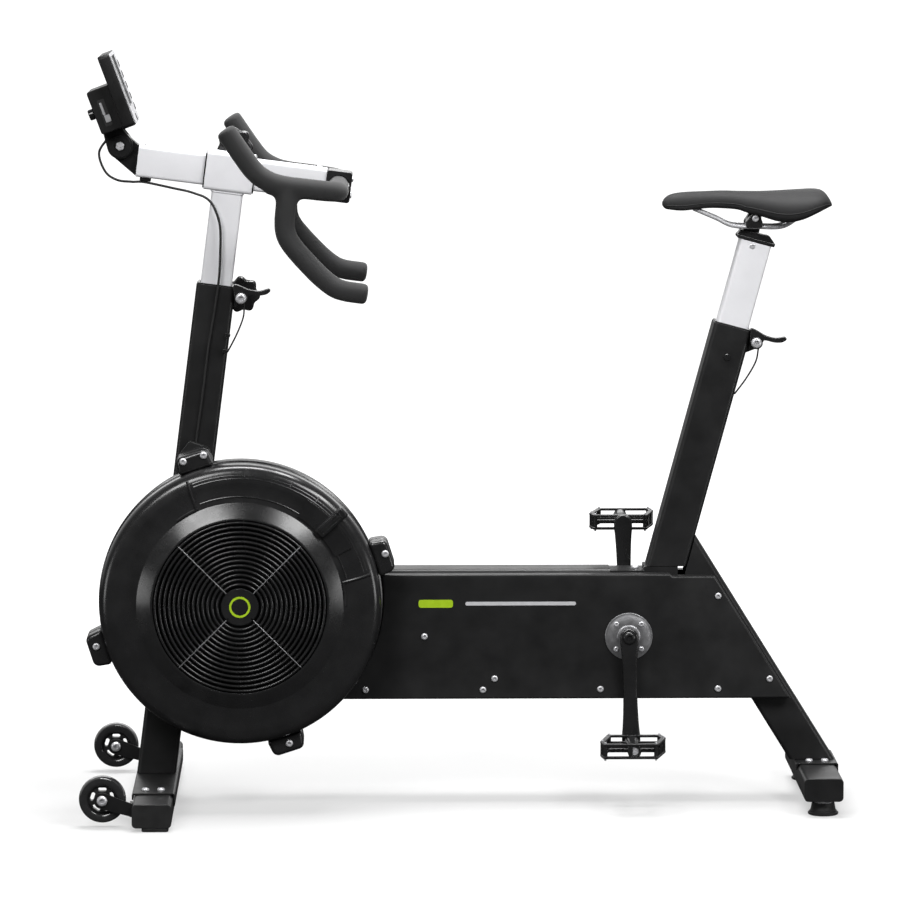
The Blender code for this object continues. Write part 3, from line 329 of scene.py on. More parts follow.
def stack(layers, axis="Y"):
    """A closed shape through several outlines of the same length, each with its depth."""
    count = len(layers[0][0])
    points = []
    faces = []
    for index, (outline, depth) in enumerate(layers):
        points += end_points(outline, depth, axis)
        if index:
            faces += side_faces((index - 1) * count, index * count, count)
    last = (len(layers) - 1) * count
    faces += [tuple(range(count)), tuple(range(last + count - 1, last - 1, -1))]
    return mesh_of(points, faces)


def prism(outline, low, high, axis="Y"):
    return stack([(outline, low), (outline, high)], axis)


def pipe(outer, inner, low, high, axis="Z"):
    """A hollow section with open ends, from two outlines with the same number of points."""
    count = len(outer)
    points = []
    for outline, end in ((outer, low), (outer, high), (inner, high), (inner, low)):
        points += end_points(outline, end, axis)
    faces = []
    for ring in range(4):
        faces += side_faces(ring * count, (ring + 1) % 4 * count, count)
    return mesh_of(points, faces)


def square_pipe(side, corner, wall, low, high, axis="Z", centre=(0.0, 0.0)):
    outer = rounded(side, side, corner, centre)
    inner = rounded(side - 2 * wall, side - 2 * wall, corner - wall + 0.0005, centre)
    return pipe(outer, inner, low, high, axis)


def lathe(profile, segments=48):
    """A closed profile of (radius, height) points turned about Z. Points at radius 0 close the end."""
    rings = []
    points = []
    for radius, height in profile:
        if radius == 0.0:
            rings.append([len(points)] * segments)
            points.append((0.0, 0.0, height))
            continue
        rings.append([len(points) + i for i in range(segments)])
        for a, b in circle(radius, steps=segments):
            points.append((a, b, height))
    faces = []
    for first, second in zip(rings, rings[1:] + rings[:1]):
        for i in range(segments):
            j = (i + 1) % segments
            corners = dict.fromkeys((first[i], first[j], second[j], second[i]))
            if len(corners) > 2:
                faces.append(tuple(corners))
    return mesh_of(points, faces)


def rod(radius, low, high, segments=32, edge=0.0):
    """A round bar along Z with chamfered ends."""
    edge = edge or radius * 0.08
    profile = [
        (0.0, low), (radius - edge, low), (radius, low + edge), (radius, high - edge),
        (radius - edge, high),
    ]
    return lathe(profile + [(0.0, high)], segments)


def cross_rod(radius, low, high, u=0.0, w=0.0):
    """A round bar across the bike, between two reaches."""
    return moved(rod(radius, low, high), SIDEWAYS, (u, 0, w))


def moved(mesh, *steps):
    """A mesh carried by offsets and matrices, first to last."""
    for step in steps:
        mesh.transform(step if isinstance(step, Matrix) else Matrix.Translation(step))
    return mesh


def joined(meshes):
    """Separate closed shapes as one mesh."""
    shape = bmesh.new()
    for mesh in meshes:
        shape.from_mesh(mesh)
    result = bpy.data.meshes.new("mesh")
    shape.to_mesh(result)
    shape.free()
    return result


def smooth_path(points, steps=8):
    """A Catmull-Rom curve through the points."""
    knots = [Vector(p) for p in points]
    knots = [2 * knots[0] - knots[1]] + knots + [2 * knots[-1] - knots[-2]]
    path = []
    for a, b, c, d in zip(knots, knots[1:], knots[2:], knots[3:]):
        for step in range(steps):
            t = step / steps
            cubic = (3 * b - a - 3 * c + d) * t ** 3
            path.append(0.5 * (2 * b + (c - a) * t + (2 * a - 5 * b + 4 * c - d) * t * t + cubic))
    return path + [knots[-2]]


def smooth_outline(points, steps):
    return [(p.x, p.y) for p in smooth_path([(a, b, 0) for a, b in points], steps)]


def tube(path, radius, sides=16, dome=0.0):
    """A round tube along a path. Its ends are flat, or bulge by a share of the radius."""
    path = [Vector(p) for p in path]
    radii = [radius] * len(path)
    if dome:
        start = (path[0] - path[1]).normalized()
        end = (path[-1] - path[-2]).normalized()
        bends = [math.radians(degrees) for degrees in (20, 45, 70, 86)]
        bulges = [(dome * math.sin(a), math.cos(a) ** 0.5) for a in bends]
        ahead = [path[0] + start * radius * s for s, _ in reversed(bulges)]
        path = ahead + path + [path[-1] + end * radius * s for s, _ in bulges]
        radii = [radius * c for _, c in reversed(bulges)] + radii + [radius * c for _, c in bulges]
    points = []
    across = (path[1] - path[0]).orthogonal().normalized()
    for index, centre in enumerate(path):
        along = (path[min(index + 1, len(path) - 1)] - path[max(index - 1, 0)]).normalized()
        across = (across - across.dot(along) * along).normalized()
        other = along.cross(across)
        for a, b in circle(radii[index], steps=sides):
            points.append(centre + across * a + other * b)
    faces = []
    for index in range(len(path) - 1):
        faces += side_faces(index * sides, (index + 1) * sides, sides)
    last = (len(path) - 1) * sides
    faces += [tuple(range(sides)), tuple(range(last + sides - 1, last - 1, -1))]
    return mesh_of(points, faces)


def cut(mesh, tool):
    """The mesh with the tool's shape taken out of it."""
    objects = []
    for part in (mesh, tool):
        obj = bpy.data.objects.new("boolean", part)
        bpy.context.scene.collection.objects.link(obj)
        objects.append(obj)
    modifier = objects[0].modifiers.new("boolean", "BOOLEAN")
    modifier.operation = "DIFFERENCE"
    modifier.solver = "EXACT"
    modifier.object = objects[1]
    return baked(objects[0], objects[1:])


def baked(obj, helpers=()):
    """The object's mesh with its modifiers applied. The object and its helpers are then gone."""
    graph = bpy.context.evaluated_depsgraph_get()
    mesh = bpy.data.meshes.new_from_object(obj.evaluated_get(graph))
    for spent in (obj, *helpers):
        bpy.data.objects.remove(spent)
    return mesh


def screw_head(radius, height):
    """A domed button head with a hexagon socket, standing up from Z = 0."""
    steps = 24
    hexagon = []
    for i in range(steps):
        angle = 2 * math.pi * i / steps
        sixth = math.radians(60)
        across = math.cos(sixth / 2) / math.cos((angle + sixth / 2) % sixth - sixth / 2)
        hexagon.append((radius * 0.5 * across * math.cos(angle), radius * 0.5 * across * math.sin(angle)))
    layers = [
        (circle(radius * 0.96, steps=steps), 0.0),
        (circle(radius, steps=steps), height * 0.2),
        (circle(radius * 0.95, steps=steps), height * 0.55),
        (circle(radius * 0.8, steps=steps), height * 0.88),
        (circle(radius * 0.64, steps=steps), height),
        (hexagon, height),
        ([(a * 0.97, b * 0.97) for a, b in hexagon], height * 0.35),
    ]
    return stack(layers, "Z")


def screws(spots, direction, radius, height):
    """Screw heads on a surface, each turned a little differently."""
    facing = Vector(direction).to_track_quat("Z", "Y").to_matrix().to_4x4()
    heads = []
    for index, spot in enumerate(spots):
        spin = turn(23.0 * index, "Z")
        heads.append(moved(screw_head(radius, height), spin, facing, spot))
    return joined(heads)


# --- Finishes


def shade(value):
    """A colour from its three parts, or a slightly cool grey from one number."""
    parts = value if isinstance(value, tuple) else (value, value, value * 1.03)
    return (*parts, 1.0)


def finish(
    name, dark, light, roughness, size=0.03, grain=0.0006, relief=0.00004, stretch=(1, 1, 1), cells=False,
    **sockets,
):
    """A procedural material: mottled colour and roughness of one size, over a fine grain in relief."""
    material = bpy.data.materials.new(name)
    material.use_nodes = True
    nodes = material.node_tree.nodes
    links = material.node_tree.links
    shader = nodes["Principled BSDF"]
    for socket, value in sockets.items():
        shader.inputs[socket.replace("_", " ").title().replace("Ior", "IOR")].default_value = value

    coordinates = nodes.new("ShaderNodeTexCoord")
    mapping = nodes.new("ShaderNodeMapping")
    mapping.inputs["Scale"].default_value = stretch
    links.new(coordinates.outputs["Object"], mapping.inputs["Vector"])

    mottle = nodes.new("ShaderNodeTexNoise")
    mottle.inputs["Scale"].default_value = 1 / size
    mottle.inputs["Detail"].default_value = 5.0
    mottle.inputs["Roughness"].default_value = 0.6
    links.new(mapping.outputs["Vector"], mottle.inputs["Vector"])
    ramp = nodes.new("ShaderNodeValToRGB")
    ramp.color_ramp.elements[0].position = 0.32
    ramp.color_ramp.elements[0].color = shade(dark)
    ramp.color_ramp.elements[1].position = 0.68
    ramp.color_ramp.elements[1].color = shade(light)
    links.new(mottle.outputs["Fac"], ramp.inputs["Fac"])
    links.new(ramp.outputs["Color"], shader.inputs["Base Color"])

    spread = nodes.new("ShaderNodeMapRange")
    spread.inputs["From Min"].default_value = 0.3
    spread.inputs["From Max"].default_value = 0.7
    spread.inputs["To Min"].default_value = roughness[0]
    spread.inputs["To Max"].default_value = roughness[1]
    links.new(mottle.outputs["Fac"], spread.inputs["Value"])
    links.new(spread.outputs["Result"], shader.inputs["Roughness"])

    texture = nodes.new("ShaderNodeTexVoronoi" if cells else "ShaderNodeTexNoise")
    texture.inputs["Scale"].default_value = 1 / grain
    links.new(mapping.outputs["Vector"], texture.inputs["Vector"])
    bump = nodes.new("ShaderNodeBump")
    bump.inputs["Strength"].default_value = 0.5
    bump.inputs["Distance"].default_value = relief
    links.new(texture.outputs["Distance" if cells else "Fac"], bump.inputs["Height"])
    links.new(bump.outputs["Normal"], shader.inputs["Normal"])
    return material


black_frame = finish(
    "black_frame", 0.0085, 0.0125, (0.36, 0.46), 0.05, 0.0009, 0.00006, specular_ior_level=0.35,
)
white_post = finish("white_post", 0.72, 0.76, (0.34, 0.44), 0.06, 0.0012, 0.00003)
black_plastic = finish("black_plastic", 0.011, 0.016, (0.17, 0.26), 0.04, 0.0007, 0.00001)
monitor_plastic = finish(
    "monitor_plastic", 0.004, 0.007, (0.42, 0.54), 0.03, 0.0005, 0.00001, specular_ior_level=0.25,
)
grip_foam = finish(
    "grip_foam", 0.01, 0.018, (0.78, 0.92), 0.012, 0.0011, 0.00025, cells=True, sheen_weight=0.15,
)
black_rubber = finish("black_rubber", 0.005, 0.009, (0.52, 0.68), 0.02, 0.0006, 0.00006)
saddle_cover = finish(
    "saddle_cover", 0.013, 0.018, (0.64, 0.76), 0.025, 0.0013, 0.00012, cells=True, specular_ior_level=0.25,
)
bright_steel = finish(
    "bright_steel", 0.62, 0.72, (0.24, 0.32), 0.006, 0.0003, 0.000002, (1, 1, 3), metallic=0.5,
)
# Dark grey fan metal, its colour also lowered as painted shade, so the blades seen through the grille gaps
# read as dark as the shaded inside of the cage.
fan_metal = finish("fan_metal", 0.03, 0.05, (0.34, 0.48), 0.02, 0.0005, 0.00003, (1, 4, 1), metallic=1.0)
grey_plate = finish("grey_plate", 0.25, 0.34, (0.34, 0.46), 0.01, 0.0004, 0.00003, metallic=0.8)
grey_key = finish("grey_key", 0.045, 0.06, (0.55, 0.68), 0.008, 0.0005, 0.00005)
pale_bezel = finish("pale_bezel", 0.34, 0.4, (0.42, 0.52), 0.02, 0.0005, 0.00001)
screen_glass = finish(
    "screen_glass", (0.018, 0.022, 0.02), (0.024, 0.03, 0.027), (0.06, 0.12), 0.02, 0.0004, 0.00001,
)
gloss_tyre = finish("gloss_tyre", 0.018, 0.026, (0.12, 0.24), 0.015, 0.0012, 0.00002, coat_weight=0.4)
lime_paint = finish(
    "lime_paint", (0.36, 0.56, 0.012), (0.42, 0.63, 0.02), (0.32, 0.42), 0.01, 0.0005, 0.00002,
)
pale_paint = finish("pale_paint", 0.52, 0.6, (0.34, 0.44), 0.01, 0.0005, 0.00002)


def add(name, mesh, material, body="frame", place=WORLD, bevel=0.0, replaces=()):
    """A piece drawn in a place, riding on a body, with rounded edges where a bevel is given."""
    mesh.transform(place)
    mesh.name = name
    mesh.materials.clear()
    mesh.materials.append(material)
    mesh.shade_smooth()
    obj = bpy.data.objects.new(name, mesh)
    bpy.context.scene.collection.objects.link(obj)
    if bevel:
        modifier = obj.modifiers.new("rounded_edges", "BEVEL")
        modifier.width = bevel
        modifier.segments = 3
        modifier.limit_method = "ANGLE"
        modifier.angle_limit = SHARP
        modifier.harden_normals = True
    else:
        mesh.set_sharp_from_angle(angle=SHARP)
    if body:
        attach(obj, body)
    if replaces:
        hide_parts(*replaces)
    return obj


# --- Camera, light and floor


def camera():
    data = bpy.data.cameras.new("camera")
    data.lens = 216.0
    data.sensor_width = 36.0
    data.clip_end = 200.0
    obj = bpy.data.objects.new("camera", data)
    obj.location = (-0.1769 + CENTRE_SHIFT, -8.75, 1.5727)
    obj.rotation_euler = (math.radians(90 - 6.508), 0.0, math.radians(-1.054))
    bpy.context.scene.collection.objects.link(obj)
    bpy.context.scene.camera = obj


def area_light(name, place, target, width, height, power):
    data = bpy.data.lights.new(name, "AREA")
    data.shape = "RECTANGLE"
    data.size = width
    data.size_y = height
    data.energy = power
    obj = bpy.data.objects.new(name, data)
    obj.location = place
    obj.rotation_euler = (Vector(target) - Vector(place)).to_track_quat("-Z", "Y").to_euler()
    obj.visible_camera = False
    bpy.context.scene.collection.objects.link(obj)


def lights():
    area_light("overhead_softbox", (0.0, 0.2, 3.2), (0.0, 0.0, 0.3), 1.9, 1.3, 145)
    area_light("key_softbox", (-2.0, -3.9, 3.5), (-0.1, 0.0, 0.7), 2.2, 1.5, 138)
    area_light("fill_softbox", (2.1, -3.6, 3.4), (0.1, 0.0, 0.6), 1.6, 1.2, 85)
    area_light("ring_softbox", (1.7, -1.9, 2.6), (-0.36, -0.15, 0.34), 0.7, 0.6, 22)
    area_light("left_strip", (-2.9, -1.6, 0.38), (-0.36, -0.15, 0.34), 0.8, 0.7, 8)
    area_light("right_strip", (2.2, -1.6, 0.38), (-0.36, -0.15, 0.34), 0.8, 0.7, 11)
    area_light("rear_panel", (0.0, 4.5, 2.0), (0.0, 0.0, 0.5), 5.0, 1.0, 30)


def camera_only_mix(tree, seen, unseen, target):
    """One shader for what the camera sees directly and another for every other ray."""
    path = tree.nodes.new("ShaderNodeLightPath")
    mix = tree.nodes.new("ShaderNodeMixShader")
    tree.links.new(path.outputs["Is Camera Ray"], mix.inputs["Fac"])
    tree.links.new(unseen, mix.inputs[1])
    tree.links.new(seen, mix.inputs[2])
    tree.links.new(mix.outputs["Shader"], target)


def world():
    studio = bpy.data.worlds.new("studio")
    studio.use_nodes = True
    tree = studio.node_tree
    seen = tree.nodes["Background"]
    seen.inputs["Color"].default_value = (1.0, 1.0, 1.0, 1.0)
    unseen = tree.nodes.new("ShaderNodeBackground")
    unseen.inputs["Color"].default_value = (1.0, 1.0, 1.0, 1.0)
    direction = tree.nodes.new("ShaderNodeTexCoord")
    parts = tree.nodes.new("ShaderNodeSeparateXYZ")
    tree.links.new(direction.outputs["Generated"], parts.inputs[0])
    behind = tree.nodes.new("ShaderNodeMapRange")
    behind.inputs["From Min"].default_value = 0.0
    behind.inputs["From Max"].default_value = 0.5
    behind.inputs["To Min"].default_value = 0.09
    behind.inputs["To Max"].default_value = 0.6
    tree.links.new(parts.outputs["Y"], behind.inputs["Value"])
    tree.links.new(behind.outputs["Result"], unseen.inputs["Strength"])
    target = tree.nodes["World Output"].inputs["Surface"]
    camera_only_mix(tree, seen.outputs["Background"], unseen.outputs["Background"], target)
    bpy.context.scene.world = studio


def floor():
    material = bpy.data.materials.new("studio_floor")
    material.use_nodes = True
    tree = material.node_tree
    tree.nodes.remove(tree.nodes["Principled BSDF"])
    pale = tree.nodes.new("ShaderNodeBsdfDiffuse")
    pale.inputs["Color"].default_value = (FLOOR_PALE, FLOOR_PALE, FLOOR_PALE, 1.0)
    glow = tree.nodes.new("ShaderNodeEmission")
    place = tree.nodes.new("ShaderNodeTexCoord")
    distance = tree.nodes.new("ShaderNodeVectorMath")
    distance.operation = "LENGTH"
    tree.links.new(place.outputs["Object"], distance.inputs[0])
    rise = tree.nodes.new("ShaderNodeMapRange")
    rise.inputs["From Min"].default_value = 0.7
    rise.inputs["From Max"].default_value = 2.2
    rise.inputs["To Min"].default_value = FLOOR_GLOW
    rise.inputs["To Max"].default_value = 1.1
    tree.links.new(distance.outputs["Value"], rise.inputs["Value"])
    tree.links.new(rise.outputs["Result"], glow.inputs["Strength"])
    seen = tree.nodes.new("ShaderNodeAddShader")
    tree.links.new(pale.outputs["BSDF"], seen.inputs[0])
    tree.links.new(glow.outputs["Emission"], seen.inputs[1])
    unseen = tree.nodes.new("ShaderNodeBsdfDiffuse")
    unseen.inputs["Color"].default_value = (0.04, 0.04, 0.04, 1.0)
    target = tree.nodes["Material Output"].inputs["Surface"]
    camera_only_mix(tree, seen.outputs["Shader"], unseen.outputs["BSDF"], target)
    mesh = mesh_of([(-60, -60, 0), (60, -60, 0), (60, 60, 0), (-60, 60, 0)], [(0, 1, 2, 3)])
    mesh.materials.append(material)
    obj = bpy.data.objects.new("studio_floor", mesh)
    bpy.context.scene.collection.objects.link(obj)


# --- Frame tubes


def clamp_ears(name, place, top):
    """The two lugs behind a tube's mouth, and the bushing in the mouth."""
    w = top - CLAMP_PIVOT_DROP
    outline = hull(circle(0.0105, (CLAMP_PIVOT_U, w)) + [(0.0305, w + 0.011), (0.0305, w - 0.022)])
    ears = joined([prism(outline, -0.022, -0.007), prism(outline, 0.007, 0.022)])
    add(f"{name}_clamp_ears", ears, black_frame, "frame", place, 0.0012)
    collar = pipe(rounded(0.06, 0.06, 0.006), rounded(0.0518, 0.0518, 0.005), top - 0.002, top + 0.0022)
    add(f"{name}_bushing", collar, black_plastic, "frame", place, 0.0004)


def columns():
    bottom = level(FRONT, FRONT_BAR_BOTTOM + FOOT_BAR_HEIGHT + BRACKET_SHEET + 2 * GAP)
    mesh = square_pipe(TUBE, TUBE_CORNER, TUBE_WALL, bottom, COLUMN_TOP)
    add("front_column_tube", mesh, black_frame, "frame", FRONT, 0.0006, ["front_column"])
    clamp_ears("front_column", FRONT, COLUMN_TOP)
    mesh = square_pipe(TUBE, TUBE_CORNER, TUBE_WALL, level(SEAT, 0.3862), SEAT_TUBE_TOP)
    add("seat_tube_tube", mesh, black_frame, "frame", SEAT, 0.0006, ["seat_tube"])
    clamp_ears("seat_tube", SEAT, SEAT_TUBE_TOP)
    plug = moved(rod(0.0055, 0.0, 0.0022, edge=0.0008), SIDEWAYS, (0.004, -TUBE / 2, SEAT_TUBE_TOP - 0.05))
    add("seat_tube_plug", plug, black_plastic, "frame", SEAT)

    face_normal = SEAT.to_3x3() @ Vector((1, 0, 0))
    face_point = SEAT @ Vector((TUBE / 2 + GAP, 0, 0))

    def meet_seat_tube(point):
        start = LEG @ Vector((point[0], point[1], 0))
        along = LEG.to_3x3() @ Vector((0, 0, 1))
        return (face_point - start).dot(face_normal) / along.dot(face_normal)

    bottom = level(LEG, REAR_BAR_BOTTOM + FOOT_BAR_HEIGHT + BRACKET_SHEET + 2 * GAP)
    mesh = square_pipe(TUBE, TUBE_CORNER, TUBE_WALL, bottom, meet_seat_tube)
    add("rear_leg_tube", mesh, black_frame, "frame", LEG, 0.0006, ["rear_leg"])


def main_beam():
    height = BEAM_TOP_Z - BEAM_BOTTOM_Z
    middle = (BEAM_TOP_Z + BEAM_BOTTOM_Z) / 2
    outer = rounded(TUBE, height, TUBE_CORNER, (0, middle))
    inner = rounded(TUBE - 2 * TUBE_WALL, height - 2 * TUBE_WALL, TUBE_CORNER - TUBE_WALL, (0, middle))

    def meet_column(point):
        return FRONT_BASE_X + (TUBE / 2 + GAP) / math.cos(FRONT_RAKE) + math.tan(FRONT_RAKE) * point[1]

    mesh = pipe(outer, inner, meet_column, BODY_BEAM_REAR_X, "X")
    for axis in (COUNTER_AXIS, FAN_AXIS):
        bore = cross_rod(0.0108, -0.04, 0.04, axis[0], axis[1])
        mesh = cut(mesh, bore)
    add("main_beam_tube", mesh, black_frame, replaces=["main_beam"])
    bolt = screws([(0.287, 0.0, 0.3795)], (0, 0, 1), 0.0062, 0.004)
    add("crank_housing_bolt", bolt, bright_steel)


def side_covers():
    """Folded sheet covers with a rounded fold, a lip at the rear leg, and button screws."""
    radius = CAGE_RADIUS + 0.0035
    start = math.degrees(math.asin((COVER_TOP_Z - FAN_AXIS[1]) / radius))
    end = math.degrees(math.asin((COVER_BOTTOM_Z - FAN_AXIS[1]) / radius))
    arc = circle(radius, FAN_AXIS, 24, start, end - start)
    slope = [(-0.405, COVER_TOP_Z), (-0.405, 0.29), (-0.24, COVER_BOTTOM_Z)]
    leg_edge = [
        (0.5359, COVER_BOTTOM_Z), (0.5389, COVER_BOTTOM_Z), (0.4142, COVER_STEP_Z), (0.4112, COVER_STEP_Z),
    ]
    step = [(COVER_STEP_X + 0.005, COVER_STEP_Z), (COVER_STEP_X, COVER_TOP_Z)]
    spots = [
        (-0.0586, 0.2751),
        (-0.1546, 0.1877),
        (0.0368, 0.1871),
        (0.0557, 0.2055),
        (0.2282, 0.1879),
        (0.4197, 0.3406),
        (0.5044, 0.2042),
        (0.4201, 0.188),
    ]
    for side, word, front_edge in ((-1, "left", arc), (1, "right", slope)):
        outline = front_edge + leg_edge + step
        lip = {leg_edge[1], leg_edge[2]}
        rim = [(0.05 if p in lip else TUBE / 2 + GAP) for p in outline]
        layers = []
        for depth, sheet in ((0.0, 0.0), (COVER_SHEET, COVER_SHEET)):
            surface = [(inset(outline, depth), None)]
            fold = COVER_FOLD - sheet
            for angle in (0, 22.5, 45, 67.5, 90):
                bend = math.radians(angle)
                distance = depth + fold * (1 - math.cos(bend))
                reach = COVER_OUTER_Y - COVER_FOLD + fold * math.sin(bend)
                surface.append((inset(outline, distance), reach))
            layers.append(surface)
        mesh = cover_shell(layers, rim, side)
        hole = cross_rod(0.016, -0.07, 0.07, CRANK_AXIS[0], CRANK_AXIS[1])
        name = f"side_cover_{word}"
        add(f"{name}_sheet", cut(mesh, hole), black_frame, replaces=[name])
        places = [(x, side * COVER_OUTER_Y, z) for x, z in spots]
        add(f"{name}_screws", screws(places, (0, side, 0), 0.0055, 0.003), bright_steel)
        stripe_y = span(side, COVER_OUTER_Y, COVER_OUTER_Y + 0.0003)
        lime = rounded(0.056, 0.013, 0.004, (-0.04, 0.329))
        pale = rounded(0.18, 0.006, 0.0029, (0.098, 0.329))
        add(f"{name}_lime_stripe", prism(lime, *stripe_y), lime_paint)
        add(f"{name}_pale_stripe", prism(pale, *stripe_y), pale_paint)


def cover_shell(layers, rim, side):
    """Outer and inner sheets of a cover, each from its rim to its flat face, closed into one body."""
    outer, inner = layers
    count = len(rim)
    points = []
    faces = []
    for surface in (outer, inner[::-1]):
        for outline, reach in surface:
            for index, (x, z) in enumerate(outline):
                depth = rim[index] if reach is None else max(reach, rim[index] + 0.0001)
                points.append((x, side * depth, z))
    rings = len(outer)
    for ring in range(rings - 1):
        faces += side_faces(ring * count, (ring + 1) * count, count)
        faces += side_faces((rings + ring) * count, (rings + ring + 1) * count, count)
    faces.append(tuple(range((rings - 1) * count, rings * count)))
    faces.append(tuple(range(rings * count, (rings + 1) * count)))
    faces += side_faces((2 * rings - 1) * count, 0, count)
    return mesh_of(points, faces)


# --- Feet and transport wheels


def feet():
    centre = (FRONT_BAR_X, FRONT_BAR_BOTTOM + FOOT_BAR_HEIGHT / 2)
    outer = rounded(FRONT_BAR_WIDTH, FOOT_BAR_HEIGHT, TUBE_CORNER, centre)
    inner = rounded(FRONT_BAR_WIDTH - 0.004, FOOT_BAR_HEIGHT - 0.004, TUBE_CORNER - TUBE_WALL, centre)
    half = FRONT_BAR_HALF - 0.003
    add(
        "front_foot_bar", pipe(outer, inner, -half, half, "Y"), black_frame, bevel=0.0005,
        replaces=["front_crossbar"],
    )
    for side, word in SIDES:
        ends = span(side, half + GAP, FRONT_BAR_HALF)
        pad = rounded(0.0426, 0.05, 0.006, (-0.4897, side * 0.28))
        pads = joined([prism(outer, *ends), prism(pad, 0.0, FRONT_BAR_BOTTOM - GAP, "Z")])
        add(f"front_foot_cap_{word}", pads, black_rubber, bevel=0.0009, replaces=[f"front_end_cap_{word}"])

    centre = (REAR_BAR_X, REAR_BAR_BOTTOM + FOOT_BAR_HEIGHT / 2)
    bar = rounded(REAR_BAR_WIDTH, FOOT_BAR_HEIGHT, TUBE_CORNER, centre)
    mesh = prism(bar, -REAR_BAR_HALF, REAR_BAR_HALF)
    add("rear_foot_bar", mesh, black_frame, bevel=0.0015, replaces=["rear_crossbar"])
    folded_bracket("front_bracket", FRONT_BAR_X, FRONT_BAR_WIDTH, FRONT_BAR_BOTTOM + FOOT_BAR_HEIGHT, 0.2165)
    folded_bracket("rear_bracket", REAR_BAR_X, REAR_BAR_WIDTH, REAR_BAR_BOTTOM + FOOT_BAR_HEIGHT, 0.065)
    front_top = FRONT_BAR_BOTTOM + FOOT_BAR_HEIGHT + GAP + BRACKET_SHEET
    rear_top = REAR_BAR_BOTTOM + FOOT_BAR_HEIGHT + GAP + BRACKET_SHEET
    spots = [(x, side * 0.188, front_top) for x in (-0.5085, -0.4836) for side in (-1, 1)]
    spots += [(x, side * 0.045, rear_top) for x in (0.5705, 0.596) for side in (-1, 1)]
    add("foot_bracket_bolts", screws(spots, (0, 0, 1), 0.0062, 0.004), bright_steel)


def folded_bracket(name, x, width, bar_top, half_length):
    """A plate folded down over the front and rear edges of a cross foot."""
    inner = width / 2 + 2 * GAP
    outer = inner + BRACKET_SHEET
    under = bar_top + GAP
    top = under + BRACKET_SHEET
    outline = [(x - outer, bar_top - 0.008), (x - inner, bar_top - 0.008), (x - inner, under)]
    outline += [(x + inner, under), (x + inner, bar_top - 0.018), (x + outer, bar_top - 0.018)]
    outline += circle(0.0035, (x + outer - 0.0035, top - 0.0035), 6, 0.0, 90.0)
    outline += circle(0.0035, (x - outer + 0.0035, top - 0.0035), 6, 90.0, 90.0)
    mesh = prism(outline, -half_length, half_length)
    add(f"{name}_plate", mesh, black_frame, bevel=0.0004, replaces=[name])


def levelling_feet():
    neck = REAR_BAR_BOTTOM - 0.0005
    base = [(0.0, 0.0), (0.0225, 0.0), (0.0245, 0.0012), (0.0245, 0.004), (0.0232, 0.005)]
    base += [(0.022, 0.0052), (0.0218, 0.0072), (0.0206, 0.008), (0.0196, 0.012), (0.019, 0.016)]
    base += [(0.0183, 0.019), (0.0, 0.019)]
    for side, word in SIDES:
        body = f"levelling_foot_{word}"
        place = at(WORLD, FOOT_X, side * FOOT_Y, 0)
        add(f"{body}_base", lathe(base, 64), black_rubber, body, place, 0.0, [body])
        nut = prism(circle(0.015, steps=6), 0.0191, neck, "Z")
        stud = rod(0.0055, neck - 0.002, neck + 0.02)
        add(f"{body}_stud", joined([nut, stud]), bright_steel, body, place, 0.0006)


def transport_wheels():
    half = WHEEL_HALF_WIDTH
    crown = []
    for angle in map(math.radians, range(-70, 71, 14)):
        crown.append((WHEEL_RADIUS - 0.0045 * (1 - math.cos(angle)), half * math.sin(angle)))
    profile = [(0.0049, half), (0.0102, half), (0.0112, 0.0105), (0.0118, 0.0055), (0.0208, 0.0055)]
    profile += [(0.0222, 0.0092), (0.025, half - 0.001), (0.029, half)] + crown[::-1]
    profile += [(a, -b) for a, b in profile[7::-1]]
    arm_low = WHEEL_HALF_WIDTH + 0.003
    bar_face = FRONT_BAR_X - FRONT_BAR_WIDTH / 2 - GAP
    for side, word in SIDES:
        y = side * WHEEL_Y
        place = at(WORLD, WHEEL_X, y, WHEEL_Z) @ SIDEWAYS
        wheel = lathe(profile, 80)
        slots = []
        for index in range(5):
            slot = hull(circle(0.0029, (0.0163, 0.004), 16) + circle(0.0029, (0.0163, -0.004), 16))
            slots.append(moved(prism(slot, -0.02, 0.02, "Z"), turn(90 + 72 * index, "Z")))
        body = f"wheel_{word}"
        add(f"{body}_tyre", cut(wheel, joined(slots)), gloss_tyre, body, place, 0.0, [body])
        root = [(bar_face, 0.0195), (bar_face, 0.0405)]
        outline = hull(circle(0.013, (WHEEL_X, WHEEL_Z)) + root)
        flange = prism(rectangle(bar_face - 0.004, bar_face, 0.0195, 0.0405), y - arm_low - 0.0036, y + 0.01)
        arm = [prism(outline, y - arm_low - 0.004, y - arm_low), flange]
        arm.append(moved(rod(0.0045, -half, half + 0.005), SIDEWAYS, (WHEEL_X, y, WHEEL_Z)))
        add(f"{body}_arm", joined(arm), black_frame, bevel=0.0009, replaces=[f"wheel_arm_{word}"])
        bolts = [moved(screw_head(0.0085, 0.005), (0, 0, arm_low + 0.004))]
        bolts.append(moved(screw_head(0.007, 0.003), Matrix.Rotation(math.pi, 4, "X"), (0, 0, -half)))
        add(f"{body}_hub_bolts", joined(bolts), bright_steel, "frame", place)


# --- Cranks and pedals


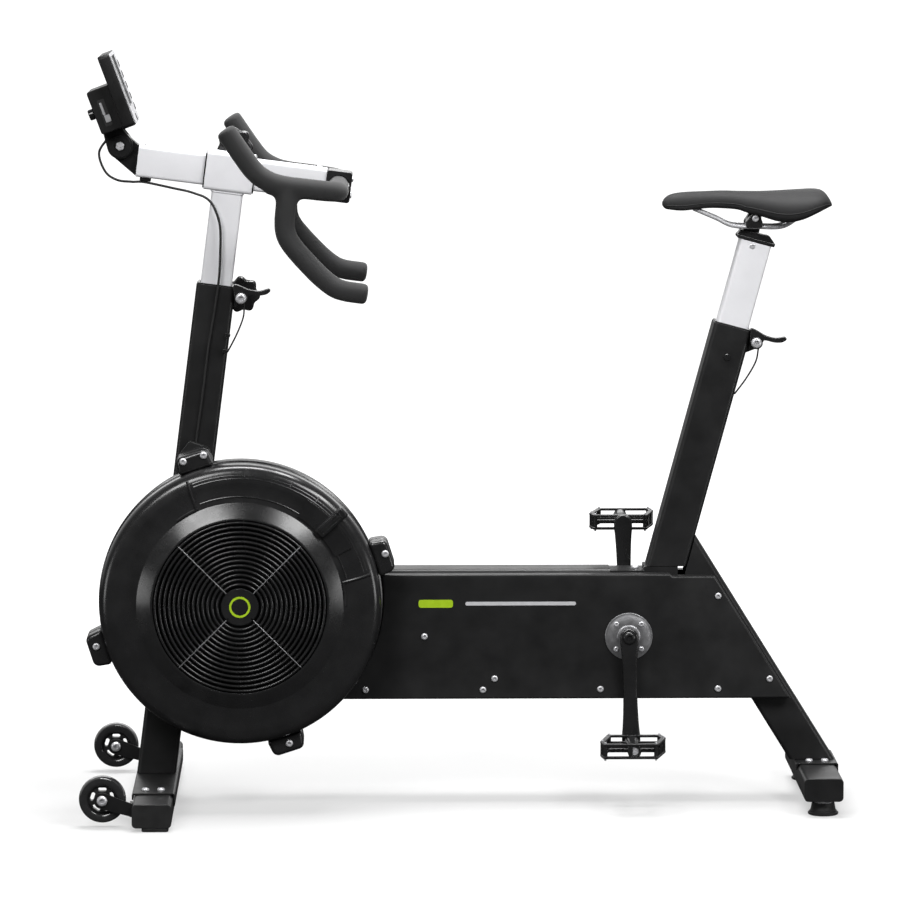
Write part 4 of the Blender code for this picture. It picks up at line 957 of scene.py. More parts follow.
def cranks():
    for side, word in SIDES:
        flank = []
        for step in range(1, 32):
            t = step / 32
            waist = math.sin(math.pi * min(1.0, max(0.0, (t - 0.06) / 0.88))) ** 0.7
            flank.append((CRANK_END_RADIUS - 0.0035 * waist, CRANK_LENGTH * t))
        outline = circle(CRANK_END_RADIUS, (0, 0), 16, 180.0, 180.0) + flank
        outline += circle(CRANK_END_RADIUS, (0, CRANK_LENGTH), 16, 0.0, 180.0)
        outline += [(-a, b) for a, b in reversed(flank)]
        outline = [(side * a, side * b) for a, b in outline]
        ends = span(side, CRANK_INNER_Y, CRANK_OUTER_Y)
        mesh = prism(outline, *ends)
        add(f"crank_arm_{word}", mesh, black_plastic, "crank", CRANK, 0.0032, [f"crank_{word}"])
        cap = moved(screw_head(0.0104, 0.004), OUTWARD[side], (0, side * CRANK_OUTER_Y, 0))
        add(f"crank_cap_{word}", cap, black_plastic, "crank", CRANK)
        reach = span(side, CRANK_INNER_Y + 0.002, PEDAL_FAR_Y - 0.004)
        axle = moved(rod(0.007, *reach), turn(-90, "X"), (0, 0, side * CRANK_LENGTH))
        washer = moved(rod(0.01, 0.0, 0.002), OUTWARD[side], (0, side * CRANK_OUTER_Y, side * CRANK_LENGTH))
        add(f"pedal_axle_{word}", joined([axle, washer]), bright_steel, "crank", CRANK)
        flange(side, word)
        pedal(side, word)


def flange(side, word):
    """Stamped bearing plate round the spindle, with four screws."""
    low = COVER_OUTER_Y + GAP
    profile = [
        (0.0125, low), (0.0387, low), (0.0387, 0.0571), (0.038, 0.0576), (0.0345, 0.0576), (0.0335, 0.0582),
    ]
    profile += [(0.019, 0.0582), (0.018, 0.059), (0.015, 0.0594), (0.0125, 0.0594)]
    place = at(WORLD, CRANK_AXIS[0], 0, CRANK_AXIS[1])
    name = f"bearing_flange_{word}"
    add(f"{name}_plate", moved(lathe(profile, 72), OUTWARD[side]), grey_plate, "frame", place, 0.0, [name])
    spots = [(x, side * 0.058, z) for x in (-0.0205, 0.0205) for z in (-0.0205, 0.0205)]
    add(f"{name}_screws", screws(spots, (0, side, 0), 0.0046, 0.0024), bright_steel, "frame", place)


def pedal(side, word):
    """Cage pedal: two rails one over the other round the edge, posts between, a barrel and grip pins."""
    half = PEDAL_HALF_LENGTH
    near, far, top = PEDAL_NEAR_Y, PEDAL_FAR_Y, PEDAL_HALF_HEIGHT
    plan = [
        (0.048, near), (half, near + 0.03), (0.038, far), (-0.05, far), (-half, far - 0.03), (-0.04, near),
    ]
    plan = [(-side * a, side * b) for a, b in reversed(plan)]
    inner = inset(plan, 0.0075)
    middle_line = inset(plan, 0.00375)
    parts = []
    for low, high in ((0.0084, top), (-top, -0.0084)):
        parts.append(pipe(plan, inner, low, high, "Z"))
    for point, after in zip(middle_line, middle_line[1:] + middle_line[:1]):
        for x, y in (point, ((point[0] + after[0]) / 2, (point[1] + after[1]) / 2)):
            parts.append(prism(circle(0.0034, (x, y), 12), -0.009, 0.009, "Z"))
    barrel = [(0.0076, near + 0.001), (0.0118, near + 0.001), (0.0118, near + 0.016), (0.0098, near + 0.024)]
    barrel += [(0.0098, far - 0.018), (0.0112, far - 0.012), (0.0112, far - 0.001), (0.0076, far - 0.001)]
    parts.append(moved(lathe(barrel, 40), OUTWARD[side]))
    for y in (near + 0.012, (near + far) / 2, far - 0.014):
        reach = half - 0.006 if y == (near + far) / 2 else 0.042
        rib = rectangle(-reach, reach, *span(side, y - 0.0028, y + 0.0028))
        web = cut(prism(rib, -0.0032, 0.0032, "Z"), cross_rod(0.0092, -0.3, 0.3))
        parts.append(web)
    body = f"pedal_{word}"
    place = at(CRANK, 0, 0, side * CRANK_LENGTH) @ Matrix.Rotation(-CRANK_LEAN, 4, "Y")
    add(f"{body}_cage", joined(parts), black_plastic, body, place, 0.001, [body])
    pins = []
    for x, y in middle_line:
        for facing_up in (1, -1):
            pin = rod(0.0017, 0.0, 0.0028, 12)
            pins.append(moved(pin, turn(90 - 90 * facing_up, "X"), (x, y, facing_up * (top - 0.0004))))
    add(f"{body}_pins", joined(pins), bright_steel, body, place)


# --- Fan and its cage


def arc_points(radius, start, end, reach, steps=24):
    return [(a, b, reach) for a, b in circle(radius, steps=steps, start=start, sweep=end - start)]


def lugs(low, high):
    root = CAGE_RADIUS - CAGE_WALL / 3
    tips = circle(LUG_RADIUS, (LUG_CENTRE, LUG_SPREAD)) + circle(LUG_RADIUS, (LUG_CENTRE, -LUG_SPREAD))
    outline = hull(tips + [(root, 0.03), (root, -0.03)])
    shapes = []
    for angle in LUG_ANGLES:
        shapes.append(moved(prism(outline, low, high, "Z"), turn(angle, "Z")))
    return joined(shapes)


def cage():
    wall = CAGE_WALL
    rear_round = circle(0.01, (CAGE_RADIUS - 0.01, CAGE_BACK + 0.01), 8, -90.0, 90.0)
    inner_round = circle(0.007, (CAGE_RADIUS - 0.01, CAGE_BACK + 0.01), 6, 0.0, -90.0)
    rim = CAGE_RADIUS + 0.002
    rear = [(0.06, CAGE_BACK)] + rear_round + [
        (CAGE_RADIUS, CAGE_PARTING - 0.007), (rim, CAGE_PARTING - 0.006),
    ]
    rear += [(rim, CAGE_PARTING - 0.0016), (CAGE_RADIUS, CAGE_PARTING - GAP)]
    rear += [(CAGE_RADIUS - wall, CAGE_PARTING - GAP)] + inner_round + [(0.06, CAGE_BACK + wall)]
    add("fan_cage_rear_shell", lathe(rear, 160), black_plastic, "frame", FAN, 0.0, ["fan_cage_rear"])
    add(
        "fan_cage_rear_lugs", lugs(CAGE_BACK + 0.012, CAGE_PARTING - 0.0005), black_plastic, "frame", FAN,
        0.006,
    )

    shoulder = [
        (CAGE_RADIUS, 0.118), (CAGE_RADIUS, 0.124), (0.225, 0.1345), (0.2175, 0.1413),
        (0.206, CAGE_FACE - 0.0008), (0.198, CAGE_FACE),
    ]
    shoulder = smooth_outline(shoulder, 4)
    front = [
        (CAGE_RADIUS, CAGE_PARTING), (rim, CAGE_PARTING + 0.0014), (rim, CAGE_PARTING + 0.006),
        (CAGE_RADIUS, CAGE_PARTING + 0.007),
    ]
    front += [
        (CAGE_RADIUS, 0.101), (CAGE_RADIUS - 0.0014, 0.102), (CAGE_RADIUS - 0.0014, 0.105),
        (CAGE_RADIUS, 0.106),
    ]
    front += shoulder
    front += [
        (BEVEL_OUTER + 0.0015, CAGE_FACE), (BEVEL_OUTER, CAGE_FACE + 0.0006),
        (BEVEL_INNER + 0.001, GRILLE_REACH - 0.0006),
    ]
    front += [
        (BEVEL_INNER - 0.001, GRILLE_REACH), (0.1412, GRILLE_REACH), (0.1404, GRILLE_REACH - 0.001),
        (0.1404, GRILLE_REACH - wall),
    ]
    front += [(BEVEL_INNER - 0.002, GRILLE_REACH - wall), (BEVEL_OUTER - 0.002, CAGE_FACE - wall)]
    front += [(0.206, CAGE_FACE - wall - 0.001), (0.2155, 0.1385), (0.2222, 0.1328)]
    front += [(CAGE_RADIUS - wall, 0.123), (CAGE_RADIUS - wall, CAGE_PARTING)]
    add("fan_cage_front_shell", lathe(front, 160), black_plastic, "frame", FAN, 0.0, ["fan_cage_front"])
    add("fan_cage_front_lugs", lugs(CAGE_PARTING + GAP, 0.12), black_plastic, "frame", FAN, 0.007)
    grille()
    cage_details()


def grille():
    """Rounded rings on four thin spokes, with a plain hub disc."""
    deep = GRILLE_REACH - CAGE_WALL - 0.001
    half = RING_WIDTH / 2
    face = GRILLE_REACH
    flank = [(half, deep), (half, face - 0.0016), (half - 0.0008, face - 0.0005), (half - 0.0017, face)]
    parts = []
    wires = []
    for index in range(RING_COUNT):
        radius = RING_FIRST + index * RING_PITCH
        inner_side = [(radius - a, b) for a, b in flank]
        outer_side = [(radius + a, b) for a, b in reversed(flank)]
        parts.append(lathe(inner_side + outer_side, 128))
    for index in range(4):
        spin = turn(45 + 90 * index, "Z")
        spoke = prism(rectangle(0.026, 0.142, -0.001, 0.001), deep - 0.002, face, "Z")
        parts.append(moved(spoke, spin))
        wires.append(moved(tube([(0.031, 0, face), (0.138, 0, face)], 0.0009, 12, dome=0.6), spin))
    hub = [
        (0.0, deep), (HUB_DISC_RADIUS, deep), (HUB_DISC_RADIUS, face - 0.0012),
        (HUB_DISC_RADIUS - 0.0012, face),
    ]
    parts.append(lathe(hub + [(0.0, face)], 96))
    add("fan_cage_grille", joined(parts), black_plastic, "frame", FAN)
    add("fan_cage_spoke_wires", joined(wires), grey_plate, "frame", FAN)
    emblem = rectangle(0.0135, 0.017, face, face + 0.0004)
    add("fan_hub_ring", lathe(emblem, 64), lime_paint, "frame", FAN)


def cage_details():
    """Raised seams and ticks on the cage's face, its screws, and the bracket that ties it to the column."""
    face = CAGE_FACE + 0.0002

    def polar(radius, angle, reach=face):
        return (radius * math.cos(math.radians(angle)), radius * math.sin(math.radians(angle)), reach)

    seams = [
        [polar(0.218, 112.7, 0.1412), polar(0.2, 113.1), polar(0.17, 114.0)] + arc_points(
            0.17, 114.5, 126.0, face, 6,
        ),
        [polar(0.216, 13.5, 0.1422), polar(0.2, 13.2), polar(0.17, 12.7)] + arc_points(
            0.17, 12.0, 0.0, face, 6,
        ),
    ]
    ridges = [tube(points, 0.0026, 10) for points in seams]
    for radius in (0.177, 0.206, 0.211):
        height = face if radius < 0.2 else CAGE_FACE - (radius - 0.2) * 0.25
        ridges.append(tube(arc_points(radius, 15.0, 111.0, height, 64), 0.0013, 8))
    for angle in (88, 79, 67, 54):
        ridges.append(tube([polar(0.208, angle, 0.1446), polar(0.2175, angle, 0.1416)], 0.0013, 8))
    add("fan_cage_seams", joined(ridges), black_plastic, "frame", FAN)

    spots = [polar(0.2475, 19.0, 0.12), polar(0.2426, -163.4, 0.12), polar(0.2415, -71.0, 0.12)]
    spots += [polar(0.248, 103.5, 0.12), polar(0.248, 111.5, 0.12)]
    add("fan_cage_screws", screws(spots, (0, 0, 1), 0.006, 0.0035), bright_steel, "frame", FAN)
    block = hull(
        circle(0.01, polar(0.245, 104.0)[:2]) + circle(0.01, polar(0.245, 112.0)[:2]) + circle(
            0.006, polar(0.262, 108.0)[:2],
        )
    )
    mesh = prism(block, TUBE / 2 + GAP, CAGE_BACK + 0.012 - GAP, "Z")
    add("fan_cage_bracket", mesh, black_frame, "frame", FAN, 0.0015)


def fan():
    """Bladed fan wheel: a back plate, thirty curved blades and two rims."""
    plate = [
        (0.0103, 0.048), (0.0103, 0.124), (0.024, 0.124), (0.027, 0.1), (0.032, 0.0515), (0.196, 0.0515),
        (0.199, 0.048),
    ]
    parts = [lathe(plate, 72)]
    for low in (0.106, 0.05):
        parts.append(lathe([(0.195, low), (0.203, low), (0.203, low + 0.006), (0.195, low + 0.006)], 96))
    for index in range(30):
        curve = [(0.075 + 0.0305 * step, 0.01 * math.sin(step * 0.7)) for step in range(5)]
        blade = [(a, b + 0.0009) for a, b in curve] + [(a, b - 0.0009) for a, b in reversed(curve)]
        parts.append(moved(prism(blade, 0.0515, 0.109, "Z"), turn(12 * index, "Z")))
    # The blades' colour is darker than the metal's own tone: painted shade for the inside of the cage.
    add("fan_blades", joined(parts), fan_metal, "fan", FAN, 0.0, ["fan_wheel"])


def damper():
    low = CAGE_FACE + GAP
    angles = (DAMPER_ANGLE - 15.0, DAMPER_ANGLE + 15.0)
    outline = circle(0.204, steps=24, start=angles[0], sweep=30.0)
    outline += circle(0.172, steps=24, start=angles[1], sweep=-30.0)
    plate = prism(outline, low, low + 0.0022, "Z")
    aim = turn(DAMPER_ANGLE, "Z")
    wide = rounded(0.058, 0.019, 0.004, (0.2, 0))
    narrow = rounded(0.053, 0.015, 0.004, (0.2, 0))
    lever = stack([(wide, low + 0.002), (wide, low + 0.0065), (narrow, low + 0.0095)], "Z")
    ridges = []
    for y in (-0.0045, 0.0, 0.0045):
        ridges.append(prism(rounded(0.042, 0.0018, 0.0008, (0.198, y)), low + 0.009, low + 0.011, "Z"))
    for r in (0.2135, 0.2185):
        ridges.append(prism(rounded(0.0018, 0.013, 0.0008, (r, 0)), low + 0.009, low + 0.0114, "Z"))
    parts = joined([plate] + [moved(mesh, aim) for mesh in (lever, *ridges)])
    add("damper_shutter", parts, black_plastic, "damper", FAN, 0.0006, ["damper_slider"])


# --- Handlebar end


def handlebar_post():
    low = COLUMN_TOP - POST_INSERTED
    sleeve_low = SLEEVE_CENTRE - SLEEVE_HEIGHT / 2
    mesh = square_pipe(POST, 0.005, POST_WALL, low, sleeve_low - GAP)
    add("handlebar_post_tube", mesh, white_post, "handlebar_post", FRONT, 0.0, ["handlebar_post"])
    weld = pipe(
        rounded(0.054, 0.054, 0.0065), rounded(0.05, 0.05, 0.0045), sleeve_low - 0.003, sleeve_low + 0.0004,
    )
    add("handlebar_post_weld", weld, white_post, "handlebar_post", FRONT, 0.0012)
    outer = rounded(TUBE, SLEEVE_HEIGHT, 0.006, (0, SLEEVE_CENTRE))
    inner = rounded(POST + 0.001, POST + 0.001, 0.0055, (0, SLEEVE_CENTRE))
    half = SLEEVE_LENGTH / 2
    mesh = pipe(outer, inner, -half, half, "X")
    add("beam_sleeve_tube", mesh, white_post, "handlebar_post", FRONT, 0.0008, ["beam_sleeve"])
    liner = rounded(0.059, 0.059, 0.0055, (0, SLEEVE_CENTRE))
    liners = [
        pipe(liner, inner, *ends, "X")
        for ends in ((-half - 0.0022, -half - 0.0001), (half + 0.0001, half + 0.0022))
    ]
    add("beam_sleeve_bushings", joined(liners), black_plastic, "handlebar_post", FRONT, 0.0004)
    top = SLEEVE_CENTRE + SLEEVE_HEIGHT / 2
    lug = hull(circle(0.0105, (0.002, BEAM_KNOB_W - 0.0015)) + [(-0.012, top - 0.002), (0.016, top - 0.002)])
    ears = joined([prism(lug, -0.012, -0.003), prism(lug, 0.003, 0.012)])
    add("beam_clamp_lugs", ears, white_post, "handlebar_post", FRONT, 0.001)
    spacer = cross_rod(0.0085, -0.03, -0.0122, 0.002, BEAM_KNOB_W)
    add("beam_clamp_spacer", spacer, black_plastic, "handlebar_post", FRONT)


def knob(body, u, w, bolt_reach):
    """A star knob on the right of its clamp, and its bolt's head on the left."""
    place = at(FRONT, u, 0, w)
    layers = [
        (star(KNOB_RADIUS - 0.003, KNOB_LOBES, 0.004), 0.0345),
        (star(KNOB_RADIUS, KNOB_LOBES, 0.005), 0.0375),
    ]
    layers += [
        (star(KNOB_RADIUS, KNOB_LOBES, 0.005), 0.051),
        (star(KNOB_RADIUS - 0.002, KNOB_LOBES, 0.0046), 0.054),
    ]
    layers += [
        (star(KNOB_RADIUS - 0.006, KNOB_LOBES, 0.003), 0.0556), (star(0.015, KNOB_LOBES, 0.0002), 0.056),
    ]
    add(f"{body}_grip", stack(layers), black_plastic, body, place, 0.0008, [body])
    bolt = [cross_rod(0.004, -0.036, bolt_reach + 0.001)]
    bolt.append(moved(screw_head(0.0091, 0.0052), (0, 0, bolt_reach), SIDEWAYS))
    add(f"{body}_bolt", joined(bolt), bright_steel, body, place)


def release_lever(body, place):
    """A finger lever on the left of a clamp, pivoting on the clamp bolt, and its short cable."""
    upper = [
        (-0.015, 0.0185), (-0.0125, 0.0212), (-0.003, 0.0196), (0.006, 0.0168), (0.0143, 0.0152),
        (0.023, 0.015),
    ]
    upper += [(0.03, 0.016), (0.037, 0.019), (0.0425, 0.0212), (0.0456, 0.0198)]
    lower = [(0.046, 0.0168), (0.0396, 0.0112), (0.028, 0.008), (0.0161, 0.0078), (0.011, 0.007)]
    outline = smooth_outline(upper, 3) + smooth_outline(lower, 3)
    outline += circle(0.0105, steps=16, start=20.0, sweep=-190.0)
    mesh = cut(prism(outline, -0.039, -0.024), cross_rod(0.0046, 0.0, 0.06))
    add(f"{body}_blade", mesh, black_plastic, body, place, 0.0016, [body])
    start, end = (0.006, -0.0315, -0.008), (-0.011, -0.026, -0.09)
    path = smooth_path([start, (0.0075, -0.032, -0.03), (0.0, -0.0315, -0.06), end], 8)
    cable = add(f"{body}_cable", tube(path, 0.0014, 12, dome=0.6), black_rubber, None, place)
    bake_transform(cable)


def seat_clamp_bolt(place):
    """The bolt through the seat tube's clamp, with a head on the left and a nut on the right."""
    parts = [cross_rod(0.004, -0.027, 0.0395), moved(screw_head(0.0088, 0.005), (0, 0, 0.0394), SIDEWAYS)]
    parts.append(moved(prism(circle(0.0078, steps=6), -0.0285, -0.0222, "Z"), SIDEWAYS))
    add("seat_clamp_bolt", joined(parts), bright_steel, "frame", place)


def handlebar_beam():
    mesh = square_pipe(POST, 0.005, POST_WALL, BEAM_FRONT, BEAM_REAR, "X", (0, SLEEVE_CENTRE))
    add("handlebar_beam_tube", mesh, white_post, "handlebar_beam", FRONT, 0.0, ["handlebar_beam"])
    top = SLEEVE_CENTRE + POST / 2
    spots = [(u, 0.0, top) for u in (-0.138, 0.143)]
    add(
        "handlebar_beam_bolts", screws(spots, (0, 0, 1), 0.005, 0.0028), bright_steel, "handlebar_beam",
        FRONT,
    )

    block = rounded(0.0415, 0.05, 0.005, (BEAM_REAR + GAP + 0.02075, SLEEVE_CENTRE - 0.0005))
    clamp = cut(prism(block, -0.03, 0.03), cross_rod(BAR_RADIUS + 0.0004, -0.05, 0.05, BAR_U, BAR_W))
    clamp = cut(
        clamp, prism(rectangle(BAR_U + 0.01, BAR_U + 0.03, BAR_W - 0.0008, BAR_W + 0.0008), -0.04, 0.04),
    )
    add("bar_clamp_block", clamp, black_plastic, "handlebar_beam", FRONT, 0.001, ["bar_clamp"])
    spots = [
        (BEAM_REAR + GAP + 0.0415, side * 0.018, BAR_W + rise)
        for side in (-1, 1) for rise in (-0.014, 0.013)
    ]
    add("bar_clamp_bolts", screws(spots, (1, 0, 0), 0.0042, 0.0024), bright_steel, "handlebar_beam", FRONT)

    hinge = FRONT.inverted() @ WORLD @ Vector(HINGE_POINT)
    end = BEAM_FRONT - GAP
    arm = hull(
        circle(HINGE_RADIUS, (hinge.x, hinge.z), 48) + [
            (end, SLEEVE_CENTRE + 0.025), (end, SLEEVE_CENTRE - 0.025),
        ]
    )
    add(
        "monitor_bracket_arm", prism(arm, -0.0125, 0.0125), black_plastic, "handlebar_beam", FRONT, 0.0015,
        ["monitor_bracket"],
    )


def handlebar():
    """Foam-covered bar whose drops grow out of the upper run, ends rounded."""
    horn = [
        (BAR_U, 0.08, BAR_W),
        (BAR_U, 0.145, BAR_W),
        (0.1715, 0.173, BAR_W),
        (0.15, 0.192, BAR_W),
        (0.1161, 0.197, BAR_W),
        (0.096, 0.198, BAR_W),
        (0.0711, 0.2, 1.0406),
        (0.0458, 0.2, 1.0517),
        (0.0224, 0.2, 1.0744),
        (-0.0108, 0.2, 1.1118),
    ]
    drop = [
        (0.0965, 0.198, BAR_W),
        (0.0974, 0.2, 1.0087),
        (0.1, 0.201, 0.972),
        (0.113, 0.203, 0.948),
        (0.152, 0.208, 0.9137),
        (0.1795, 0.211, 0.8945),
        (0.201, 0.214, 0.8862),
        (0.2385, 0.216, 0.885),
    ]
    left = [(u, -y, w) for u, y, w in reversed(horn)]
    parts = [tube(smooth_path(left + horn), BAR_RADIUS, 24, dome=0.3)]
    for side in (-1, 1):
        parts.append(tube(smooth_path([(u, side * y, w) for u, y, w in drop]), BAR_RADIUS, 24, dome=0.3))
        for reach in (-1, 1):
            web = [(0.097 + reach * 0.033, 0.002), (0.0975 + reach * 0.011, 0.01), (0.098, 0.038)]
            web = [(u, side * 0.1988, BAR_W - drop_by) for u, drop_by in web]
            parts.append(tube(smooth_path(web), 0.013, 20))
    bar = bpy.data.objects.new("bar", joined(parts))
    bpy.context.scene.collection.objects.link(bar)
    remesh = bar.modifiers.new("remesh", "REMESH")
    remesh.mode = "VOXEL"
    remesh.voxel_size = 0.0024
    smooth = bar.modifiers.new("smooth", "CORRECTIVE_SMOOTH")
    smooth.use_only_smooth = True
    smooth.iterations = 10
    obj = add("handlebar_foam", baked(bar), grip_foam, "handlebar_beam", FRONT, 0.0, ["handlebar"])
    obj.data.shade_smooth()


# --- Monitor


def monitor():
    width = 2 * SCREEN_HALF_WIDTH
    height = SCREEN_TOP - SCREEN_BOTTOM
    middle = (SCREEN_TOP + SCREEN_BOTTOM) / 2
    layers = []
    for depth, edge in (
        (0.005, 0.0016), (0.0055, 0.0005), (0.0066, 0.0), (0.023, 0.0), (0.0241, 0.0005), (0.0245, 0.0014),
    ):
        outline = rounded(width - 2 * edge, height - 2 * edge, 0.006 - edge / 2, (0, middle))
        layers.append((outline, SCREEN_BACK + depth))
    ahead = SCREEN_FACE + 0.01
    holes = [rounded(0.018, 0.013, 0.003, (y, w)) for _, y, w in KEYS]
    pockets = joined([prism(hole, SCREEN_FACE - 0.0045, ahead, "X") for hole in holes])
    view = (-0.018, middle + 0.012)
    window = prism(rounded(0.096, 0.086, 0.003, view), SCREEN_FACE - 0.0022, ahead, "X")
    housing = cut(cut(stack(layers, "X"), pockets), window)
    add("monitor_case", housing, monitor_plastic, "monitor", SCREEN, 0.0, ["monitor_housing"])
    plate = rounded(width - 0.0034, height - 0.0034, 0.005, (0, middle))
    sheet = prism(plate, SCREEN_FACE + 0.0001, SCREEN_FACE + 0.0018, "X")
    bezel = cut(cut(sheet, pockets.copy()), window.copy())
    add("monitor_bezel", bezel, pale_bezel, "monitor", SCREEN)
    pane = rounded(0.0954, 0.0854, 0.0028, view)
    glass = prism(pane, SCREEN_FACE - 0.0021, SCREEN_FACE - 0.0004, "X")
    add("monitor_screen", glass, screen_glass, "monitor", SCREEN, 0.0002)
    for name, y, w in KEYS:
        key = rounded(0.017, 0.012, 0.003, (y, w))
        small = rounded(0.015, 0.01, 0.0025, (y, w))
        depths = [(key, SCREEN_FACE - 0.003), (key, SCREEN_FACE + 0.0018), (small, SCREEN_FACE + 0.0028)]
        mesh = stack(depths, "X")
        add(f"{name}_cap", mesh, grey_key, name, SCREEN, 0.0003, [name])

    box = rounded(0.038, 0.0723, 0.004, (0.0, 0.06415))
    parts = [prism(box, -0.055, 0.055)]
    ear = hull(circle(HINGE_RADIUS, (0, 0), 48) + [(-0.018, 0.032), (0.012, 0.032)])
    for side in (-1, 1):
        parts.append(prism(ear, *span(side, 0.013, 0.022)))
    add("monitor_rear_case", joined(parts), monitor_plastic, "monitor", SCREEN, 0.0016, ["monitor_rear_box"])
    recess = prism(rounded(0.012, 0.044, 0.002, (-0.002, 0.06), 4), -0.0554, -0.0549)
    add("monitor_side_slot", recess, black_rubber, "monitor", SCREEN, 0.0002)
    latch = [prism(rounded(0.009, 0.012, 0.0012, (-0.0005, 0.05), 4), -0.0564, -0.055)]
    latch.append(prism(rounded(0.004, 0.021, 0.001, (-0.0035, 0.067), 4), -0.0564, -0.055))
    add("monitor_side_latch", joined(latch), pale_bezel, "monitor", SCREEN, 0.0003)
    thumb = [
        (0.0, 0.0), (0.008, 0.0), (0.008, 0.003), (0.009, 0.004), (0.009, 0.0105), (0.0075, 0.0118),
        (0.0, 0.0118),
    ]
    mesh = moved(lathe(thumb, 40), turn(-90, "Y"), (-0.019, 0, 0.0626))
    add("monitor_thumb_knob", mesh, black_plastic, "monitor", SCREEN)
    for side, word in SIDES:
        ring = [(0.0095, 0.0215), (0.0185, 0.0215), (0.0185, 0.023), (0.0172, 0.024), (0.0095, 0.024)]
        washer = moved(lathe(ring, 48), OUTWARD[side])
        add(f"monitor_hinge_ring_{word}", washer, black_plastic, "monitor", SCREEN)
        head = moved(prism(circle(0.0074, steps=6), 0.0215, 0.0262, "Z"), OUTWARD[side])
        add(f"monitor_hinge_bolt_{word}", head, bright_steel, "monitor", SCREEN, 0.0008)


def lead():
    """The monitor's lead, clipped under the beam and to the column, slack between the sliding posts."""
    upper = [
        (-0.569, 0.0, 1.085),
        (-0.584, -0.004, 1.06),
        (-0.574, -0.008, 1.03),
        (-0.5548, -0.01, 1.0165),
        (-0.53, -0.012, 1.0135),
        (-0.5098, -0.014, 1.013),
        (-0.4623, -0.022, 1.0035),
        (-0.439, -0.027, 0.9988),
        (-0.4159, -0.031, 0.9915),
    ]
    lower = [
        (-0.415, -0.0312, 0.9911),
        (-0.406, -0.0335, 0.985),
        (-0.397, -0.035, 0.972),
        (-0.3883, -0.0352, 0.9432),
        (-0.388, -0.0352, 0.9),
        (-0.3912, -0.036, 0.8511),
        (-0.4041, -0.0365, 0.77),
        (-0.4086, -0.0365, 0.744),
        (-0.418, -0.0365, 0.67),
        (-0.43, -0.035, 0.585),
    ]
    pieces = (
        ("monitor_lead_tail", upper[:5], "monitor", "handlebar_beam", 0, 3, []),
        ("monitor_lead_slack", upper[4:], "handlebar_beam", "handlebar_post", 1, 3, ["monitor_lead_upper"]),
        ("monitor_lead_column", lower, "handlebar_post", "frame", 0, 4, ["monitor_lead_lower"]),
    )
    for name, points, first, second, start, end, nodes in pieces:
        mesh = tube(smooth_path(points, 10), 0.002, 12, dome=0.6)
        piece = add(name, mesh, black_rubber, None, WORLD, 0.0, nodes)
        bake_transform(piece)
    clips = []
    for u, w in ((0.033, 0.776), (0.0315, 0.75)):
        clips.append(prism(rounded(0.0085, 0.0055, 0.0015, (u - 0.004, w)), -0.04, -TUBE / 2))
    add("monitor_lead_clips", joined(clips), black_plastic, "frame", FRONT, 0.0008)
    clip = rounded(0.012, 0.006, 0.0018, (-0.013, SLEEVE_CENTRE - POST / 2 - 0.0028))
    saddle_clip = prism(clip, -0.143, -0.125, "X")
    add("monitor_lead_beam_clip", saddle_clip, black_plastic, "handlebar_beam", FRONT, 0.0008)


# --- Seat end


def seat_post():
    low = SEAT_TUBE_TOP - POST_INSERTED
    mesh = square_pipe(POST + 0.001, 0.005, POST_WALL, low, SEAT_POST_TOP)
    add("seat_post_tube", mesh, white_post, "seat_post", SEAT, 0.0, ["seat_post"])
    screw = screws([(-0.004, -POST / 2 - 0.0005, SEAT_POST_TOP - 0.0066)], (0, -1, 0), 0.005, 0.0014)
    add("seat_post_screw", screw, bright_steel, "seat_post", SEAT)
    top = SEAT_POST_TOP
    wedge = [(-0.0315, top + GAP), (0.03, top + GAP), (0.0312, top + 0.0062), (-0.0322, top + 0.0062)]
    ridge = [(-0.0322, top + 0.0058), (0.0312, top + 0.0058), (0.019, top + 0.016), (-0.029, top + 0.014)]
    cap = joined([prism(wedge, -0.0265, 0.0265), prism(ridge, -0.0135, 0.0135)])
    pivot = SEAT.inverted() @ WORLD @ Vector(SADDLE_PIVOT)
    eye = hull(circle(0.0115, (pivot.x, pivot.z)) + [(-0.024, top + 0.014), (0.002, top + 0.016)])
    eye = cut(prism(eye, -0.01, 0.01), cross_rod(0.0046, -0.05, 0.05, pivot.x, pivot.z))
    add("seat_head_block", joined([cap, eye]), black_plastic, "seat_post", SEAT, 0.0012, ["seat_head"])


